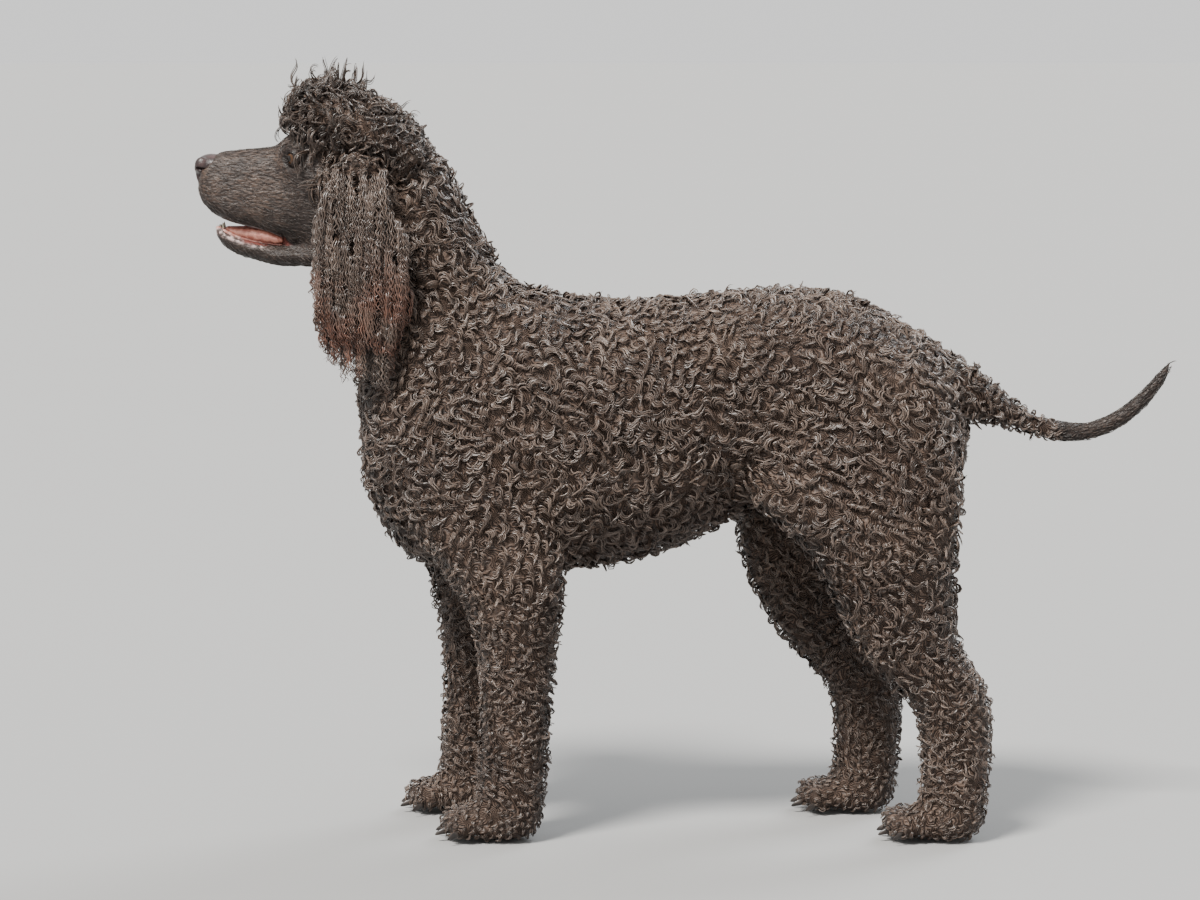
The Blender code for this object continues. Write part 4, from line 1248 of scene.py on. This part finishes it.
def combed(roots, tree, under, seed):
    """Bundles of crimped strands, combed down along the outline of the coat until it ends."""
    at, out = roots["at"], roots["out"]
    count = len(at)
    step = EAR_STRAND * varied(count, 0.12) / (EAR_STEPS - 1)
    place, facing = at - out * 0.001, out
    heading = unit(lying(out, DOWN) + out * 0.6)
    middle, faces, headings = [place], [facing], [heading]
    for number in range(1, EAR_STEPS):
        ahead = place + heading * step[:, None]
        found = [tree.find_nearest(point) for point in ahead]
        on_it, normal = np.array([hit[0] for hit in found]), np.array([hit[1] for hit in found])
        free = (normal * DOWN).sum(axis=1) > TURNED_AWAY
        free |= np.linalg.norm(on_it - ahead, axis=1) > TOO_FAR
        pull = np.where(free, 0.0, min(1.0, number / (0.28 * EAR_STEPS)))[:, None]
        place = ahead + (on_it - normal * under[:, None] - ahead) * pull
        facing = unit(facing + 0.5 * np.where(free[:, None], facing, normal))
        heading = unit(np.where(free[:, None], heading * 0.6 + DOWN * 0.4, lying(normal, DOWN)))
        middle.append(place)
        faces.append(facing)
        headings.append(heading)
    middle, faces = np.stack(middle, 1), np.stack(faces, 1)
    aside = unit(np.cross(faces, np.stack(headings, 1)))
    share = np.linspace(0, 1, EAR_STEPS)
    taper = np.interp(share[:-1], *EAR_TAPER)
    phase = draw.random(count) * FULL_CIRCLE + drift(at, 0.02, seed) * 1.5
    waves = 2 * math.pi * EAR_STRAND / EAR_WAVE * varied(count, 0.20)
    # Painted shade: bundles that lie deeper under the outline are darker, and so are strands near the top of
    # the ear, under the topknot's ringlets.
    shade = 0.62 + 0.16 * drift(at, 0.03, seed + 1) + 0.15 * draw.normal(size=count) - 75 * np.abs(under)
    shade -= 0.30 * rise(at[:, 2], 0.685, EAR_TOP - 0.001)
    lines, widths, shades = [], [], []
    for strand in range(EAR_STRANDS):
        beside = strand - (EAR_STRANDS - 1) / 2
        angle = (phase + 0.75 * draw.normal(size=count))[:, None] + waves[:, None] * share
        swing = EAR_CRIMP * varied(count, 0.25)[:, None] * (0.4 + 0.6 * share + 0.8 * rise(share, 0.75, 1.0))
        over = beside * EAR_APART * (1 + 0.3 * share) + swing * np.sin(angle)
        lift = swing * 0.7 * np.cos(angle) - 0.0012 * abs(beside) * share
        lines.append(middle + aside * over[:, :, None] + faces * lift[:, :, None])
        widths.append(varied(count, 0.2, EAR_HALF_WIDTH)[:, None] * taper)
        shades.append(shade + 0.12 * draw.normal(size=count))
    return bundled(roots, lines, widths, shades)


ear_coat = hair_finish("liver_ear_strands", -0.05, 0.30)
on_rim = np.abs(corner_out.mean(axis=1)[:, 0]) > 0.62
for side in SIDES:
    hanging = (parts == "ear") & side_of[side] & (z < EAR_TOP)
    sets = []
    for chosen, gap, (least, most) in ((~on_rim, EAR_GAP, EAR_DEPTHS), (on_rim, EAR_RIM_GAP, EAR_RIM_DEPTHS)):
        roots = rooted(hanging & chosen, gap)
        under = least + (most - least) * draw.random(len(roots["at"])) ** 1.5
        sets.append(combed(roots, outline[f"ear_{side}"], under, 90))
    piece = hair(f"ear_strands_{side}", ear_coat, *sets, slot="ear_coat")
    keep(piece, "ear_end", np.ones(len(piece.data.vertices)))

# ---- 14. the topknot ----------------------------------------------------------------------
# A cap of ringlets over the skull and down to the ears. On top and in front it ends in long,
# loose, wavy locks that stand up, fall forward over the brow and hook at their tips.
TALLEST = 0.856  # no lock stands higher
LOCK_GAP = 0.0078
LOCK_STEPS = 15
TEMPLE_GAP = 0.0082
TEMPLE_STEPS = 14
LOCK_TAPER = ((0, 0.3, 1), (1.0, 0.95, 0.30))
UPWARDS = -DOWN


def wisps(roots, start, turn, sway, length, steps, strands, half_width, fan=0.45):
    """Loose locks, each curling in an upright plane: from its start angle above the way ahead,
    through its turn, with a sway to and fro; the strands come together at the tip."""
    at, out = roots["at"], roots["out"]
    count = len(at)
    share = np.linspace(0, 1, steps)
    spread = (1 - share) ** 0.6 + 0.25 * share
    taper = np.interp(share[:-1], *LOCK_TAPER)
    plane = np.arctan2(out[:, 1], -out[:, 0]) * 0.5 + fan * draw.normal(size=count)
    ahead = np.stack([-np.cos(plane), np.sin(plane), np.zeros(count)], axis=1)
    level = np.stack([np.sin(plane), np.cos(plane), np.zeros(count)], axis=1)
    size = length * varied(count, 0.22)
    first = np.radians(start + 18 * draw.normal(size=count))
    turning = np.radians(turn * varied(count, 0.30)) * np.where(draw.random(count) < 0.72, 1, -1)
    swing = math.radians(sway) * varied(count, 0.25)
    cycles = 0.75 + 0.50 * draw.random(count)
    phase = draw.random(count) * FULL_CIRCLE
    shade = 0.42 + 0.16 * draw.normal(size=count)
    lines, widths, shades = [], [], []
    for strand in range(strands):
        own = size * varied(count, 0.10)
        begun = (phase + 0.15 * draw.normal(size=count))[:, None]
        angle = first[:, None] + turning[:, None] * share**1.4
        angle += swing[:, None] * np.sin(2 * math.pi * cycles[:, None] * share + begun)
        cosine, sine = np.cos(angle)[:, :, None], np.sin(angle)[:, :, None]
        step = (own / (steps - 1))[:, None, None]
        line = np.cumsum((ahead[:, None] * cosine + UPWARDS * sine) * step, axis=1)
        line += (at - out * 0.002)[:, None] - line[:, :1]
        beside = -ahead[:, None] * sine + UPWARDS * cosine
        shift = 0.0012 * draw.normal(size=(count, 2))
        line += (level[:, None] * shift[:, :1, None] + beside * shift[:, 1:, None]) * spread[None, :, None]
        weave = 0.0030 * np.sin(phase[:, None] * 2 + 5.0 * share)
        line += level[:, None] * weave[:, :, None] * share[None, :, None]
        tall = np.maximum(line[:, :, 2].max(axis=1) - at[:, 2], 1e-4)
        room = np.maximum(TALLEST - 0.004 * draw.random(count) - at[:, 2], 0.004)
        lower = np.minimum(1, room / tall)
        line[:, :, 2] = at[:, 2, None] + (line[:, :, 2] - at[:, 2, None]) * lower[:, None]
        lines.append(line)
        widths.append(varied(count, 0.2, half_width)[:, None] * taper)
        shades.append(shade + 0.10 * draw.normal(size=count))
    return bundled(roots, lines, widths, shades)


knot_coat = hair_finish("liver_topknot", -0.15, 0.30)
behind_face = (x > -0.398) & ~((z < 0.70) & (x < -0.37))
hair("coat_head", curl_coat, curls_on("head", behind_face, 80))
hair("coat_topknot", knot_coat, curls_on("topknot", everywhere, 70))
hair("coat_ear_tops", knot_coat, curls_on("ear", z > EAR_TOP - 0.034, 75))
roots = rooted(parts == "topknot", LOCK_GAP)
(lock_x, _, lock_z), (out_x, _, out_z) = roots["at"].T, roots["out"].T
lottery = draw.random(len(lock_x))
LOCKS = (  # where they grow; start, turn and sway in degrees; length, steps, strands, half width, fan
    ((out_z > 0.35) & (lock_x < -0.345) & (lottery < 0.34), (95, 60, 58, 0.050, LOCK_STEPS, 5, 0.00086)),
    ((out_z > 0.0) & (lock_x > -0.38) & (lottery > 0.80), (80, -120, 30, 0.024, LOCK_STEPS, 4, 0.00076, 1.2)),
    (
        (out_x < -0.30) & (lock_x < -0.395) & (lock_z > 0.745) & (lottery < 0.85),
        (-10, 170, 30, 0.034, LOCK_STEPS, 4, 0.00088),
    ),
    (
        (lock_x < -0.385) & (lock_x > -0.425) & (lock_z < 0.800) & (lottery > 0.45),
        (-70, -20, 45, 0.030, LOCK_STEPS, 4, 0.00084),
    ),
)
sets = [wisps({name: row[chosen] for name, row in roots.items()}, *form) for chosen, form in LOCKS]
hair("coat_topknot_wisps", knot_coat, *sets)
on_temple = np.isin(parts, ("topknot", "head", "ear"))
on_temple &= (x > -0.410) & (x < -0.376) & (z > 0.715) & (z < 0.785)
for side in SIDES:
    roots = rooted(on_temple & side_of[side], TEMPLE_GAP)
    temple = wisps(roots, -75, 20, 48, 0.040, TEMPLE_STEPS, 5, 0.00090, fan=0.8)
    hair(f"coat_temple_{side}", knot_coat, temple)

# ---- 15. the short hair of the face -------------------------------------------------------
# Smooth and close on muzzle, cheeks and jaw, lying back and down. Mostly relief in the hide,
# with fine hairs that break its outline.
FACE_GAP = 0.0039
FACE_REACH = 0.0022
CURLS["face"] = (0.0085, 12, 4, 2, 0.00028, 0.0008, FACE_GAP)
HAIR_LIES["face"] = (0.80, 0.0, -0.50)
on_face = np.isin(parts, ("head", "lower_jaw")) & (x < -0.398)
mouth = (np.abs(y) < 0.026) & (np.abs(z - MOUTH_HEIGHT) < 0.017) & (x < -0.428)
bald = mouth | (np.linalg.norm(centres - np.array(nose_at), axis=1) < 0.020)
for side in SIDES:
    bald |= np.linalg.norm(centres - np.array(eyes_at[side]), axis=1) < 0.0135
roots = rooted(on_face & ~bald, FACE_GAP)
roots["reach"] = np.full(len(roots["at"]), FACE_REACH)
hair("face_hairs", short_coat, curl_lines(roots, "face", 130, swirl=0.35, lift=0.16), slot="face_hair")

# ---- 16. the studio -----------------------------------------------------------------------
# A pale seamless floor and large soft lights. The camera stands level with the dog's chest, a
# few metres from its left side.
AIM = Vector((-0.0928, 0.0, 0.4205))
CAMERA_DISTANCE = 5.0
CAMERA_RISE = math.radians(6.5)
LENS = 135.75  # mm, on a film 36 mm wide
FILM = 36.0
FLOOR_GREY = (0.285, 0.285, 0.283, 1)
AIR_GREY = (0.915, 0.915, 0.912, 1)
AIR_LIGHT = 1.16

dull = Finish("pale_floor", {"Roughness": 0.85, "Specular IOR Level": 0.2})
cloud = dull.noise(1.5, 2.0) * 0.02 + 0.98
dull.give(Base_Color=dull.mixed(cloud, (0, 0, 0, 1), FLOOR_GREY))
bpy.ops.object.select_all(action="DESELECT")
bpy.ops.mesh.primitive_plane_add(size=60, location=(0, 0, 0))
floor = bpy.context.active_object
floor.name = "studio_floor"
floor.data.materials.append(dull.material)

world = bpy.data.worlds.new("studio_air")
world.use_nodes = True
world.node_tree.nodes["Background"].inputs["Color"].default_value = AIR_GREY
world.node_tree.nodes["Background"].inputs["Strength"].default_value = AIR_LIGHT
bpy.context.scene.world = world


def lamp(name, heading, softness, strength, colour):
    """A distant soft light; heading is the way from the dog to the light."""
    light = bpy.data.lights.new(name, "SUN")
    light.angle, light.energy, light.color = math.radians(softness), strength, colour
    stand = bpy.data.objects.new(name, light)
    stand.rotation_euler = Vector(heading).to_track_quat("Z", "Y").to_euler()
    bpy.context.collection.objects.link(stand)


lamp("key_light", (-0.50, -0.75, 1.25), 15, 8.2, (1.0, 0.97, 0.92))
lamp("rim_light", (0.7, 0.9, 1.0), 25, 2.6, (0.93, 0.97, 1.0))

lens = bpy.data.cameras.new("camera")
lens.lens, lens.sensor_width = LENS, FILM
camera = bpy.data.objects.new("camera", lens)
back = Vector((0, -math.cos(CAMERA_RISE), math.sin(CAMERA_RISE)))
camera.location = AIM + back * CAMERA_DISTANCE
camera.rotation_euler = (-back).to_track_quat("-Z", "Y").to_euler()
bpy.context.collection.objects.link(camera)
bpy.context.scene.camera = camera
